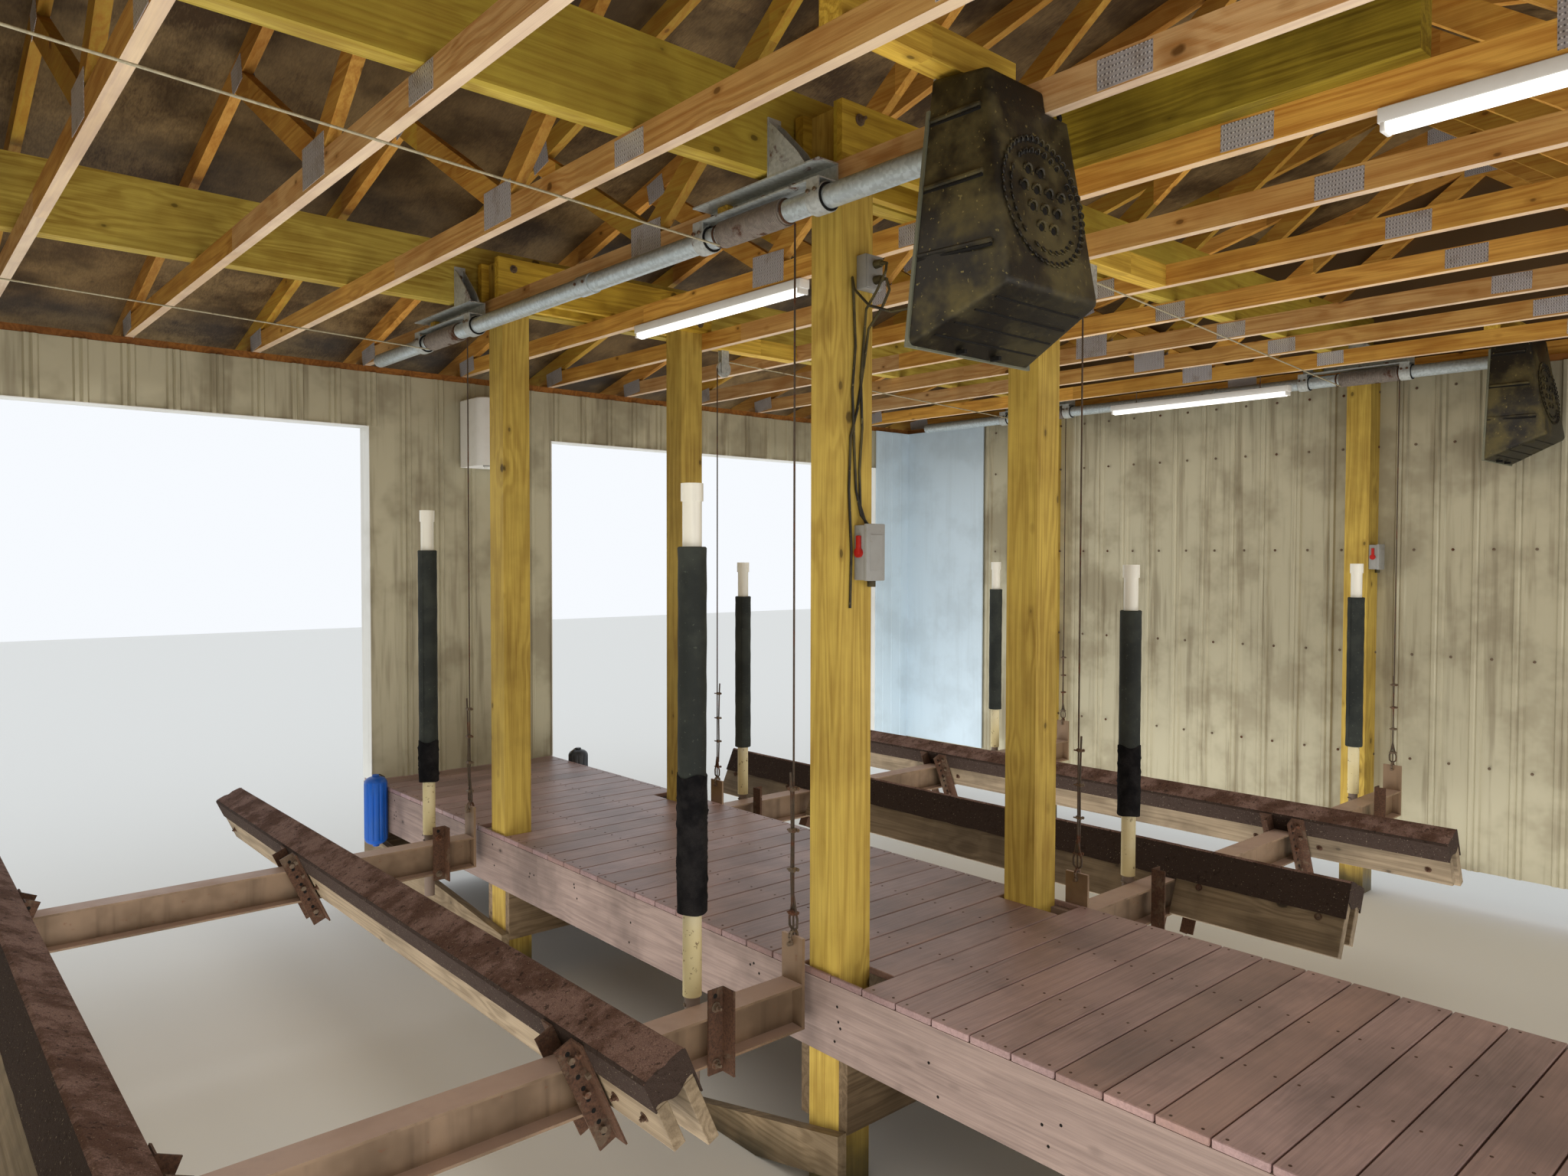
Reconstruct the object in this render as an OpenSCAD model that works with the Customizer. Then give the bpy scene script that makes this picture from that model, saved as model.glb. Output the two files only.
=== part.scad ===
// Two-slip boathouse on piles with a centre dock, a trussed roof and two
// overhead boat lifts. Millimetres. X runs across the slips, Y along them
// with the open front at -Y, Z up from the water.

/* [Dock] */
// Height of the deck top above the water
deck_z = 730; // [680:10:1100]
// Width of the centre dock
dock_w = 1220; // [1000:10:1500]
// Thickness of the deck boards
deck_t = 24; // [18:1:40]
// Thickness of the sawn planks used for rims, joists and cross beams
plank_t = 38; // [30:1:50]
// Depth of the rim planks and joists
rim_h = 240; // [180:5:280]
// Depth of the cross beams that clasp the posts under the rim
beam_h = 240; // [150:5:280]
// Side of the square posts and piles
post_w = 140; // [100:5:180]
// Distance of a post's outer face inside the dock's edge
post_setback = 13; // [5:1:30]
// Distance between post rows along the slips
row_pitch = 2320; // [2000:10:2400]
// Distance of the front post row from the middle of the building
row_front = 2794; // [2700:2:3000]
// Distance of the wall posts in front of the dock posts
wall_post_shift = 110; // [0:5:140]
// Depth of the sloping brace planks
brace_h = 140; // [90:5:180]
// Length of the rear platform along the slips
platform_l = 2160; // [1800:10:2300]

/* [Walls] */
// Clear width between the linings of the side walls
clear_w = 8390; // [8000:10:8800]
// Length of the building over its wall frames, front to back
frame_l = 9144; // [8900:2:9600]
// Thickness of the wall frames between lining and siding
frame_t = 112; // [90:1:140]
// Depth of the ribbed sheets of the siding, lining and roof
sheet_h = 15; // [10:1:25]
// Thickness of the flat part of a ribbed sheet
sheet_t = 3; // [2:0.5:5]
// Distance between the rib groups of a sheet
rib_pitch = 210; // [180:5:300]
// Height of the foot of the walls above the water
wall_foot = 240; // [150:10:400]
// Height of the slip openings above the deck
slip_h = 2140; // [1900:10:2200]
// Width of each slip opening
slip_w = 3165; // [2900:5:3300]
// Width of the back doorway
door_w = 900; // [800:10:1100]
// Height of the back doorway above the deck
door_h = 2030; // [1900:10:2150]
// Width of the flat metal trim round the openings
trim_w = 60; // [40:2:90]
// Thickness of the flat metal trim
trim_t = 4; // [2:0.5:6]
// Length of the plywood panels in the front right corner
panel_l = 850; // [600:10:1100]
// Thickness of those panels
panel_t = 12; // [9:1:18]

/* [Roof] */
// Height of the trusses' undersides above the deck
tie_h = 2500; // [2400:10:2650]
// Depth of the truss members
member_h = 89; // [70:1:110]
// Distance between trusses
truss_pitch = 616; // [600:1:640]
// Rise of the roof for each unit of run
pitch = 0.25; // [0.2:0.01:0.3]
// Height of the rafters' lower edge above the truss foot at the wall
heel_h = 29; // [15:1:50]
// Distance from the middle to each lower joint of the truss webs
web_foot = 1440; // [1300:10:1600]
// Overhang of the eaves beyond the wall frames
eave_l = 300; // [200:10:450]
// Overhang of the roof beyond the side walls
rake_l = 150; // [80:10:250]
// Thickness of the roof boarding
boarding_t = 12; // [9:1:20]
// Depth of the eave boards
fascia_h = 140; // [120:5:190]
// Width of each wing of the ridge cap
cap_w = 180; // [120:10:260]

/* [Beams] */
// Depth of the lift beams above the truss ties
lift_beam_h = 286; // [180:2:300]
// Distance of the near lift beam in front of the middle of the building
near_beam = 600; // [500:5:700]
// Distance of the far lift beam in front of the middle of the building
far_beam = 2940; // [2910:5:3000]
// Depth of the header beams that clasp the post heads
header_h = 190; // [140:5:240]
// Length of the doubled planks beside the middle truss
side_beam_l = 1445; // [1200:5:1600]

/* [Boat lifts] */
// Distance of the drive pipes' axes below the trusses
pipe_drop = 42; // [30:1:60]
// Outer diameter of the drive pipes
pipe_d = 73; // [60:1:80]
// Diameter of the cable windings on the pipes
drum_d = 92; // [80:1:100]
// Diameter of the lift cables
cable_d = 7; // [5:1:10]
// Gap from a lift cable to the dock's edge or the wall posts
end_gap = 46; // [35:1:70]
// Length of a pipe hanger
hanger_l = 640; // [560:10:700]
// Height of the hanger channel
channel_h = 60; // [50:1:64]
// Thickness of the hanger's steel
channel_t = 5; // [4:0.5:8]
// Radius of the cable pulleys
pulley_r = 40; // [30:1:50]
// Distance of the pulleys' axles below the trusses
pulley_drop = 100; // [80:5:140]
// Width of the motor covers at the back
cover_w = 525; // [460:5:560]
// Height of the motor covers at the back
cover_h = 700; // [600:5:720]
// Rise of the motor covers' backs above the trusses' undersides
cover_rise = 85; // [50:5:88]
// Depth of the motor covers at the bottom
cover_l = 275; // [220:5:320]
// Distance of the motor covers' backs behind the middle of the building
cover_y = 190; // [150:5:230]

/* [Cradles] */
// Height of the cradle beams' undersides above the water
beam_z = 540; // [530:5:700]
// Depth of the steel cradle beams
steel_h = 150; // [120:5:160]
// Width of the steel cradle beams
steel_w = 100; // [80:2:120]
// Height of the lift plates above the cradle beams
plate_h = 150; // [100:5:200]
// Distance of the left cradle's near beam in front of the middle
left_near = 560; // [520:5:620]
// Distance of the left cradle's far beam in front of the middle
left_far = 2980; // [2900:5:3060]
// Distance of the right cradle's near beam in front of the middle
right_near = 340; // [300:5:400]
// Distance of the right cradle's far beam in front of the middle
right_far = 2660; // [2600:5:2750]
// Outer diameter of the guide posts
guide_d = 60; // [50:1:70]
// Outer diameter of the foam sleeves on the guide posts
foam_d = 92; // [80:1:110]
// Height of the left cradle's guide posts above the deck
left_guide_h = 1575; // [1400:5:1650]
// Height of the right cradle's guide posts above the deck
right_guide_h = 1320; // [1200:5:1500]
// Width of the carpeted bunks
bunk_w = 140; // [120:5:160]
// Thickness of the two planks that stand on edge in each bunk
bunk_t = 38; // [34:1:44]
// Depth of a bunk's outer plank under the carpet
bunk_out_h = 300; // [240:5:310]
// Depth of a bunk's inner plank under the carpet
bunk_in_h = 235; // [180:5:240]
// Tilt of the bunks, in degrees
bunk_tilt = 24; // [10:1:30]

/* [Fittings] */
// Length of the strip lights
light_l = 1220; // [1000:10:1300]
// Near end of the strip light over the slips, in front of the middle
light_far = 1230; // [1100:10:1400]
// Near end of the strip light over the platform, behind the middle
light_near = 2180; // [2000:10:2400]
// Near end of the strip light by the right wall, in front of the middle
light_side = 850; // [700:10:1000]
// Height of the switch box on the middle post above the deck
switch_at = 1280; // [1100:10:1500]
// Height of the outlet box on that post above the deck
outlet_at = 2210; // [2000:10:2250]
// Height of the switch box on the wall post above the deck
wall_box_at = 1290; // [1000:10:1500]
// Diameter of the fenders
fender_d = 130; // [100:5:160]
// Length of the fenders over their ends
fender_l = 420; // [340:10:500]

/* [Hidden] */
$fn = 48;
eps = 0.01;
clear = 0.3;

wood = "BurlyWood";
old_wood = "RosyBrown";
steel = "Silver";
sheet_grey = "LightGray";

// Heights above the water
rim_z = deck_z - deck_t - rim_h;
joist_top = deck_z - deck_t;
beam_under = rim_z - beam_h;
tie_z = deck_z + tie_h;
plate_z = tie_z - plank_t;
slip_z = deck_z + slip_h;
door_z = deck_z + door_h;
sill_h = 240;
sill_top = wall_foot + sill_h;
pipe_z = tie_z - pipe_drop;
pulley_z = tie_z - pulley_drop;

// Distances from the middle of the building
dock_edge = dock_w / 2;
clear_x = clear_w / 2;
frame_in_x = clear_x + sheet_h;
frame_out_x = frame_in_x + frame_t;
wall_out_x = frame_out_x + sheet_h;
frame_y = frame_l / 2 - sheet_h;
wall_out_y = frame_l / 2;
frame_in_y = frame_y - frame_t;
clear_y = frame_in_y - sheet_h;
slip_in_x = dock_edge;
slip_out_x = dock_edge + slip_w;
post_x = dock_edge - post_setback - post_w / 2;
wall_post_x = clear_x - post_w / 2;
wall_post_face = clear_x - post_w;
platform_y = clear_y - platform_l;
row_ys = [for (i = [0:2]) i * row_pitch - row_front];
wall_ys = [for (y = row_ys) y - wall_post_shift];
front_row_y = -wall_out_y + post_w;

// Roof lines
rafter_v = member_h * sqrt(1 + pitch * pitch);
function rafter_low(y) = tie_z + heel_h + pitch * (wall_out_y - abs(y));
function rafter_top(y) = rafter_low(y) + rafter_v;
eave_y = wall_out_y + eave_l;
tie_top = tie_z + member_h;
tie_cut_y = wall_out_y - (member_h - heel_h) / pitch;
roof_angle = atan(pitch);
gable_truss_x = frame_out_x - plank_t / 2;
truss_n = floor((gable_truss_x - plank_t * 3) / truss_pitch);
truss_xs = [for (i = [-truss_n:truss_n]) i * truss_pitch];
all_truss_xs = concat([-gable_truss_x], truss_xs, [gable_truss_x]);
roof_x = wall_out_x + rake_l;

// Lift stations: cable and pulley lines across, beam lines along
cable_r = cable_d / 2;
drum_r = drum_d / 2;
lay_r = drum_r - cable_r;
left_cable_x = dock_edge + end_gap;
left_pulley_x = wall_post_face - end_gap;
right_cable_x = -left_pulley_x;
right_pulley_x = -left_cable_x;
left_ys = [-left_near, -left_far];
right_ys = [-right_near, -right_far];
left_lead = 200;
right_lead = 80;
drum_l = 330;
drum_near = 10;
leg_w = 55;
steel_top = beam_z + steel_h;
plate_top = steel_top + plate_h;
pipe_end_y = -4015;
pipe_start_y = cover_y + 90;

// A straight round bar between two points
module bar(a, b, r) {
    d = b - a;
    l = norm(d);
    translate(a)
        rotate([0, acos(d[2] / l), atan2(d[1], d[0])])
            cylinder(h = l, r = r);
}

// A box given by its two corners
module block(a, b) {
    translate(a) cube([b[0] - a[0], b[1] - a[1], b[2] - a[2]]);
}

// A box mirrored to both sides of the plane x = 0
module pair(a, b) {
    block(a, b);
    mirror([1, 0, 0]) block(a, b);
}

// Outline drawn in the Y-Z plane and made w thick about x
module profile_yz(points, x, w) {
    translate([x - w / 2, 0, 0])
        rotate([90, 0, 90])
            linear_extrude(w) polygon(points);
}

// Cross-section of a ribbed sheet from a to b: two ridges to a group
rib_group = [[0, 0], [9, 1], [27, 1], [36, 0.35], [45, 1], [63, 1], [72, 0]];
function ribbed(a, b) =
    let (first = ceil((a + 12) / rib_pitch), last = floor((b - 84) / rib_pitch))
    concat(
        [[a, 0], [a, -sheet_t]],
        [for (k = [first:1:last], p = rib_group)
            [k * rib_pitch + p[0], -sheet_t - p[1] * (sheet_h - sheet_t)]],
        [[b, -sheet_t], [b, 0]]
    );

// Upright ribbed sheet along X, its back on y = 0 and its ribs towards -Y
module sheet(a, b, low, high) {
    translate([0, 0, low])
        linear_extrude(high - low) polygon(ribbed(a, b));
}

// The same sheet on the front, back, left or right face of a wall
module sheet_front(y, a, b, low, high) {
    translate([0, y, 0]) sheet(a, b, low, high);
}
module sheet_back(y, a, b, low, high) {
    translate([0, y, 0]) rotate([0, 0, 180]) sheet(-b, -a, low, high);
}
module sheet_left(x, a, b, low, high) {
    translate([x, 0, 0]) rotate([0, 0, 90]) sheet(a, b, low, high);
}
module sheet_right(x, a, b, low, high) {
    translate([x, 0, 0]) rotate([0, 0, -90]) sheet(-b, -a, low, high);
}

// The post heads and their beams stay lower under the webs at the back
function header_rise(y) = y > web_foot ? header_h * 0.6 : header_h;

// Centre dock

module dock_posts() {
    color(wood)
        for (y = row_ys, s = [-1, 1])
            difference() {
                translate([s * post_x - post_w / 2, y - post_w / 2, 0])
                    cube([post_w, post_w, tie_top + header_rise(y)]);
                block([s * dock_edge - plank_t - eps, y - post_w, rim_z],
                      [s * dock_edge + plank_t + eps, y + post_w, joist_top]);
            }
}

module front_piles() {
    color(old_wood)
        for (s = [-1, 1])
            translate([s * post_x - post_w / 2, front_row_y - post_w / 2, 0])
                cube([post_w, post_w, rim_z]);
}

module dock_beams() {
    color(old_wood)
        for (y = concat([front_row_y], row_ys), s = [-1, 1])
            translate([clear - dock_edge + post_setback,
                       y + s * (post_w + plank_t) / 2 - plank_t / 2, beam_under])
                cube([dock_w - 2 * post_setback - 2 * clear, plank_t, beam_h]);
}

module dock_rim() {
    color(old_wood) {
        pair([dock_edge - plank_t, -wall_out_y, rim_z],
             [dock_edge, platform_y, joist_top]);
        block([plank_t + clear - dock_edge, -wall_out_y, rim_z],
              [dock_edge - plank_t - clear, plank_t - wall_out_y, joist_top]);
    }
}

joist_x = dock_edge / 3;

module dock_joists() {
    color(old_wood)
        pair([joist_x - plank_t / 2, plank_t - wall_out_y, rim_z],
             [joist_x + plank_t / 2, platform_y, joist_top]);
}

// Planks on the slip side of the piles: one rises from the first dock posts
// to the front piles, and one dips from the second posts into the water
rise_drop = 463;
rise_slope = 0.09;
dip_drop = 496;
dip_slope = 0.23;
brace_tail = 35;

module dock_braces() {
    front = front_row_y - post_w / 2;
    back = row_ys[0] + post_w / 2 + brace_tail;
    high = deck_z - rise_drop + rise_slope * (row_ys[0] - front);
    low = deck_z - rise_drop + rise_slope * (row_ys[0] - back);
    start = row_ys[1] + post_w / 2 + brace_tail;
    top = deck_z - dip_drop;
    color(old_wood)
        for (s = [-1, 1]) {
            x = s * (post_x + (post_w + plank_t) / 2);
            profile_yz([
                [front, high - brace_h], [back, low - brace_h], [back, low], [front, high]
            ], x, plank_t);
            profile_yz([
                [start - top / dip_slope, 0], [start - (top - brace_h) / dip_slope, 0],
                [start, top - brace_h], [start, top]
            ], x, plank_t);
        }
}

module dock_deck() {
    color("RosyBrown")
        difference() {
            block([-dock_edge, -wall_out_y, joist_top],
                  [dock_edge, platform_y, deck_z]);
            for (y = row_ys, s = [-1, 1])
                if (y + post_w / 2 < platform_y)
                    translate([s * post_x - post_w / 2 - clear,
                               y - post_w / 2 - clear, joist_top - 1])
                        cube([post_w + 2 * clear, post_w + 2 * clear, deck_t + 2]);
        }
}

// Rear platform between the side walls

bay_n = 5;

module platform_frame() {
    color(old_wood) {
        for (y = [platform_y, frame_in_y - plank_t])
            block([-clear_x, y, rim_z], [clear_x, y + plank_t, joist_top]);
        for (i = [1:2 * bay_n - 1])
            block([(i / bay_n - 1) * clear_x - plank_t / 2,
                   platform_y + plank_t + clear, rim_z],
                  [(i / bay_n - 1) * clear_x + plank_t / 2,
                   frame_in_y - plank_t - clear, joist_top]);
    }
}

module platform_deck() {
    color("RosyBrown")
        block([-clear_x, platform_y, joist_top], [clear_x, frame_in_y, deck_z]);
}

// Walls

pile_x = (frame_in_x + frame_out_x) / 2;

// A square pile centred on x, y
module pile(x, y, top) {
    translate([x - post_w / 2, y - post_w / 2, 0]) cube([post_w, post_w, top]);
}

module outer_piles() {
    color(old_wood)
        for (sx = [-1, 1]) {
            for (sy = [-1, 1]) pile(sx * pile_x, sy * (frame_y - post_w / 2), wall_foot);
            for (y = [platform_y + post_w / 2, frame_in_y - post_w / 2])
                pile(sx * clear_x / 2, y, rim_z);
        }
}

// Each wall post is packed out to the wall frame, and the lining stops beside it
module wall_posts() {
    color(wood)
        for (y = wall_ys) {
            pair([wall_post_face, y - post_w / 2, 0], [clear_x, y + post_w / 2, plate_z]);
            pair([clear_x - eps, y - post_w / 2, wall_foot],
                 [frame_in_x, y + post_w / 2, plate_z]);
        }
}

// Stretches of a side wall between its posts
lining_ends = concat(
    [-clear_y],
    [for (y = wall_ys, s = [-1, 1]) y + s * (post_w / 2 + clear)],
    [clear_y]
);
lining_spans = [for (i = [0:2:len(lining_ends) - 2]) [lining_ends[i], lining_ends[i + 1]]];

module wall_sills() {
    color(old_wood) {
        pair([frame_in_x, -frame_y, wall_foot], [frame_out_x, frame_y, sill_top]);
        block([-frame_in_x, frame_in_y, wall_foot], [frame_in_x, frame_y, sill_top]);
        pair([slip_out_x, -frame_y, wall_foot], [frame_in_x, -frame_in_y, sill_top]);
    }
}

module front_wall() {
    color(wood) {
        pair([slip_out_x, -frame_y, sill_top], [frame_in_x, -frame_in_y, plate_z]);
        block([-slip_in_x, -frame_y, deck_z], [slip_in_x, -frame_in_y, slip_z]);
        block([-slip_out_x, -frame_y, slip_z], [slip_out_x, -frame_in_y, plate_z]);
    }
}

module left_wall() {
    color(wood)
        block([frame_in_x, -frame_y, sill_top], [frame_out_x, frame_y, plate_z]);
}

module right_wall() {
    color(wood)
        block([-frame_out_x, -frame_y, sill_top], [-frame_in_x, frame_y, plate_z]);
}

module back_wall() {
    color(wood) {
        pair([door_w / 2, frame_in_y, sill_top], [frame_in_x, frame_y, plate_z]);
        block([-door_w / 2, frame_in_y, sill_top], [door_w / 2, frame_y, joist_top]);
        block([-door_w / 2, frame_in_y, door_z], [door_w / 2, frame_y, plate_z]);
    }
}

module outer_siding() {
    color(sheet_grey) {
        sheet_left(frame_out_x, -frame_y - eps, frame_y + eps, wall_foot, plate_z);
        sheet_right(-frame_out_x, -frame_y - eps, frame_y + eps, wall_foot, plate_z);
        sheet_front(-frame_y, -wall_out_x, wall_out_x, slip_z, tie_z);
        sheet_front(-frame_y, -wall_out_x, -slip_out_x, wall_foot, slip_z);
        sheet_front(-frame_y, slip_out_x, wall_out_x, wall_foot, slip_z);
        sheet_front(-frame_y, -slip_in_x, slip_in_x, deck_z, slip_z);
        sheet_back(frame_y, -wall_out_x, wall_out_x, door_z, tie_z);
        sheet_back(frame_y, -wall_out_x, -door_w / 2, wall_foot, door_z);
        sheet_back(frame_y, door_w / 2, wall_out_x, wall_foot, door_z);
        sheet_back(frame_y, -door_w / 2, door_w / 2, wall_foot, joist_top);
    }
}

module wall_lining() {
    color(sheet_grey) {
        for (span = lining_spans) {
            sheet_right(frame_in_x, span[0], span[1], wall_foot, plate_z);
            sheet_left(-frame_in_x, span[0], span[1], wall_foot, plate_z);
        }
        sheet_back(-frame_in_y, -clear_x, clear_x, slip_z, plate_z);
        sheet_back(-frame_in_y, -clear_x, -slip_out_x, wall_foot, slip_z);
        sheet_back(-frame_in_y, slip_out_x, clear_x, wall_foot, slip_z);
        sheet_back(-frame_in_y, -slip_in_x, slip_in_x, deck_z, slip_z);
        sheet_front(frame_in_y, -clear_x, clear_x, door_z, plate_z);
        sheet_front(frame_in_y, -clear_x, -door_w / 2, deck_z, door_z);
        sheet_front(frame_in_y, door_w / 2, clear_x, deck_z, door_z);
    }
}

// Flat metal lining of an opening's jambs and head, through the wall
module trim_frame(half_w, mid_x, lows, high, y1, y2) {
    for (i = [0, 1])
        translate([mid_x + (2 * i - 1) * (half_w - trim_t / 2) - trim_t / 2, y1, lows[i]])
            cube([trim_t, y2 - y1, high - lows[i]]);
    translate([mid_x - half_w + trim_t, y1, high - trim_t])
        cube([2 * (half_w - trim_t), y2 - y1, trim_t]);
}

module opening_trim() {
    mid = (slip_in_x + slip_out_x) / 2;
    color("White") {
        trim_frame(slip_w / 2, -mid, [wall_foot, deck_z], slip_z, -wall_out_y, -clear_y);
        trim_frame(slip_w / 2, mid, [deck_z, wall_foot], slip_z, -wall_out_y, -clear_y);
        trim_frame(door_w / 2, 0, [deck_z, deck_z], door_z, clear_y, wall_out_y);
    }
}

module corner_panels() {
    color("WhiteSmoke") {
        block([-clear_x, -clear_y, sill_top],
              [panel_t - clear_x, panel_l - clear_y, plate_z]);
        block([panel_t - clear_x, -clear_y, sill_top],
              [-slip_out_x, panel_t - clear_y, plate_z]);
    }
}

module top_plates() {
    color(wood) {
        pair([frame_in_x, -frame_y, plate_z], [frame_out_x, frame_y, tie_z]);
        for (s = [-1, 1])
            translate([-frame_in_x, s * (frame_in_y + frame_t / 2) - frame_t / 2, plate_z])
                cube([2 * frame_in_x, frame_t, plank_t]);
    }
}

// Roof trusses

module truss_ties() {
    color(wood)
        for (x = all_truss_xs)
            profile_yz([
                [-wall_out_y, tie_z], [wall_out_y, tie_z],
                [wall_out_y, tie_z + heel_h], [tie_cut_y, tie_top],
                [-tie_cut_y, tie_top], [-wall_out_y, tie_z + heel_h]
            ], x, plank_t);
}

module truss_rafters() {
    color(wood)
        for (x = all_truss_xs, s = [-1, 1])
            profile_yz([
                [s * clear, rafter_low(clear)], [s * eave_y, rafter_low(eave_y)],
                [s * eave_y, rafter_top(eave_y)], [s * clear, rafter_top(clear)]
            ], x, plank_t);
}

// Webs: each member is a band cut by the tie, the rafter and its neighbour
web_head = wall_out_y / 2;

module web_band(a, b) {
    d = b - a;
    translate(a)
        rotate(atan2(d[1], d[0]))
            translate([-member_h * 2, -member_h / 2])
                square([norm(d) + member_h * 4, member_h]);
}

module web_pair(s) {
    foot = [s * web_foot, tie_top];
    intersection() {
        web_band(foot, [0, rafter_low(0)]);
        polygon([[s * clear, tie_top], [s * web_foot, tie_top],
                 [s * web_foot, rafter_low(web_foot)], [s * clear, rafter_low(clear)]]);
    }
    intersection() {
        web_band(foot, [s * web_head, rafter_low(web_head)]);
        polygon([[s * (web_foot + 1), tie_top], [s * tie_cut_y, tie_top],
                 [s * (web_foot + 1), rafter_low(web_foot + 1)]]);
    }
}

module truss_webs() {
    color(wood)
        for (x = all_truss_xs, s = [-1, 1])
            translate([x - plank_t / 2, 0, 0])
                rotate([90, 0, 90])
                    linear_extrude(plank_t) web_pair(s);
}

module gable_siding() {
    color(sheet_grey)
        for (s = [-1, 1])
            intersection() {
                if (s > 0)
                    sheet_left(frame_out_x, -wall_out_y, wall_out_y,
                               plate_z, rafter_top(0) + 10);
                else
                    sheet_right(-frame_out_x, -wall_out_y, wall_out_y,
                                plate_z, rafter_top(0) + 10);
                profile_yz([
                    [-frame_y, plate_z], [frame_y, plate_z],
                    [frame_y, tie_z], [wall_out_y, tie_z],
                    [wall_out_y, rafter_top(wall_out_y) - clear],
                    [0, rafter_top(0) - clear],
                    [-wall_out_y, rafter_top(wall_out_y) - clear],
                    [-wall_out_y, tie_z], [-frame_y, tie_z]
                ], s * (frame_out_x + sheet_h / 2), sheet_h * 2);
            }
}

module roof_boarding() {
    color("SaddleBrown")
        for (s = [-1, 1])
            profile_yz([
                [s * clear, rafter_top(clear)], [s * eave_y, rafter_top(eave_y)],
                [s * eave_y, rafter_top(eave_y) + boarding_t],
                [s * clear, rafter_top(clear) + boarding_t]
            ], 0, 2 * roof_x);
}

module roof_sheets() {
    slope_l = (eave_y + 30) / cos(roof_angle) - 30;
    color(sheet_grey)
        for (turn = [0, 180])
            rotate([0, 0, turn])
                translate([0, 0, rafter_top(0) + boarding_t + clear])
                    rotate([-roof_angle, 0, 0])
                        translate([0, 30, 0])
                            rotate([-90, 0, 0])
                                linear_extrude(slope_l)
                                    polygon(ribbed(-roof_x, roof_x));
}

cap_t = 2;

module ridge_cap() {
    top = rafter_top(0) + boarding_t + 2 * clear + sheet_h / cos(roof_angle);
    color(sheet_grey)
        profile_yz([
            [0, top + cap_t], [cap_w, top + cap_t - cap_w * pitch],
            [cap_w, top - cap_w * pitch], [0, top],
            [-cap_w, top - cap_w * pitch], [-cap_w, top + cap_t - cap_w * pitch]
        ], 0, 2 * roof_x);
}

module eave_boards() {
    top = rafter_top(eave_y + plank_t / 2) + boarding_t;
    color("White")
        for (s = [-1, 1])
            translate([-roof_x, s * (eave_y + plank_t / 4) - plank_t / 4,
                       top - fascia_h])
                cube([2 * roof_x, plank_t / 2, fascia_h]);
}

// Beams under the roof

header_l = truss_pitch + plank_t / 2;

module header_beams() {
    color(wood)
        for (y = row_ys, s = [-1, 1])
            translate([-header_l, y + s * (post_w + plank_t) / 2 - plank_t / 2,
                       tie_top])
                cube([2 * header_l, plank_t, header_rise(y)]);
}

// Doubled planks beside the middle truss, from the middle row's headers
module side_planks() {
    color(wood)
        for (i = [0, 1])
            translate([plank_t / 2 + clear + i * plank_t,
                       row_ys[1] + post_w / 2 + plank_t + clear, tie_top + clear])
                cube([plank_t, side_beam_l, header_h]);
}

module lift_beams() {
    color("Khaki")
        for (y = [near_beam, far_beam], i = [0, 1])
            translate([-frame_out_x, -y - (i + 1) * plank_t, tie_top])
                cube([2 * frame_out_x, plank_t, lift_beam_h]);
}

// Timber between two trusses that carries a motor or a pulley
module bridging(x1, x2, y, w) {
    block([x1 + plank_t / 2, y - w / 2, tie_z], [x2 - plank_t / 2, y + w / 2, tie_top]);
}

mount_t = 6;
last_truss = truss_n * truss_pitch;

// Doubled timber laid across two trusses' ties, that carries a motor
module motor_timber(x1, x2) {
    block([x1 - plank_t / 2, cover_y - mount_t, tie_top + clear],
          [x2 + plank_t / 2, cover_y - mount_t + 2 * plank_t, tie_top + clear + member_h]);
}

module lift_blocking() {
    color("Khaki") {
        motor_timber(truss_pitch, 2 * truss_pitch);
        motor_timber(-gable_truss_x, -last_truss);
        for (y = left_ys)
            bridging(last_truss, gable_truss_x, y, 2 * plank_t);
        for (y = right_ys)
            bridging(-2 * truss_pitch, -truss_pitch, y, 2 * plank_t);
    }
}

// Fittings

light_w = 56;
light_h = 66;
light_hang = 80;
// The third light hangs from the last truss clear of the right drive pipe
light_truss = floor((-right_cable_x - lay_r - 250) / truss_pitch) * truss_pitch;

// A strip light's near end at y, hung a little way under a truss tie at x
module strip_light(x, y, hang) {
    translate([x - light_w / 2, y - light_l, tie_z - hang - light_h])
        cube([light_w, light_l, light_h]);
    if (hang > 0)
        for (i = [0.15, 0.85])
            translate([x, y - i * light_l, tie_z - hang])
                cylinder(h = hang, r = 3);
}

module strip_lights() {
    color("White") {
        strip_light(0, -light_far, 0);
        strip_light(0, light_near, 0);
        strip_light(-light_truss, -light_side, light_hang);
    }
}

heater_w = 330;
heater_t = 280;
heater_hgt = 435;

module water_heater() {
    color("White")
        translate([-130, heater_t / 2 - clear_y, deck_z + 1910])
            linear_extrude(heater_hgt)
                intersection() {
                    square([heater_w, heater_t], center = true);
                    circle(r = heater_w * 0.56);
                }
}

module switch_boxes() {
    color("LightGray") {
        translate([post_x - post_w / 2, row_ys[1] + post_w / 2, deck_z + switch_at])
            cube([80, 60, 177]);
        translate([post_x - post_w / 2, row_ys[1] + post_w / 2, deck_z + outlet_at])
            cube([75, 55, 110]);
        translate([-wall_post_face - 95, wall_ys[1] + post_w / 2, deck_z + wall_box_at])
            cube([90, 60, 150]);
    }
}

fender_drop = 340;

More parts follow.
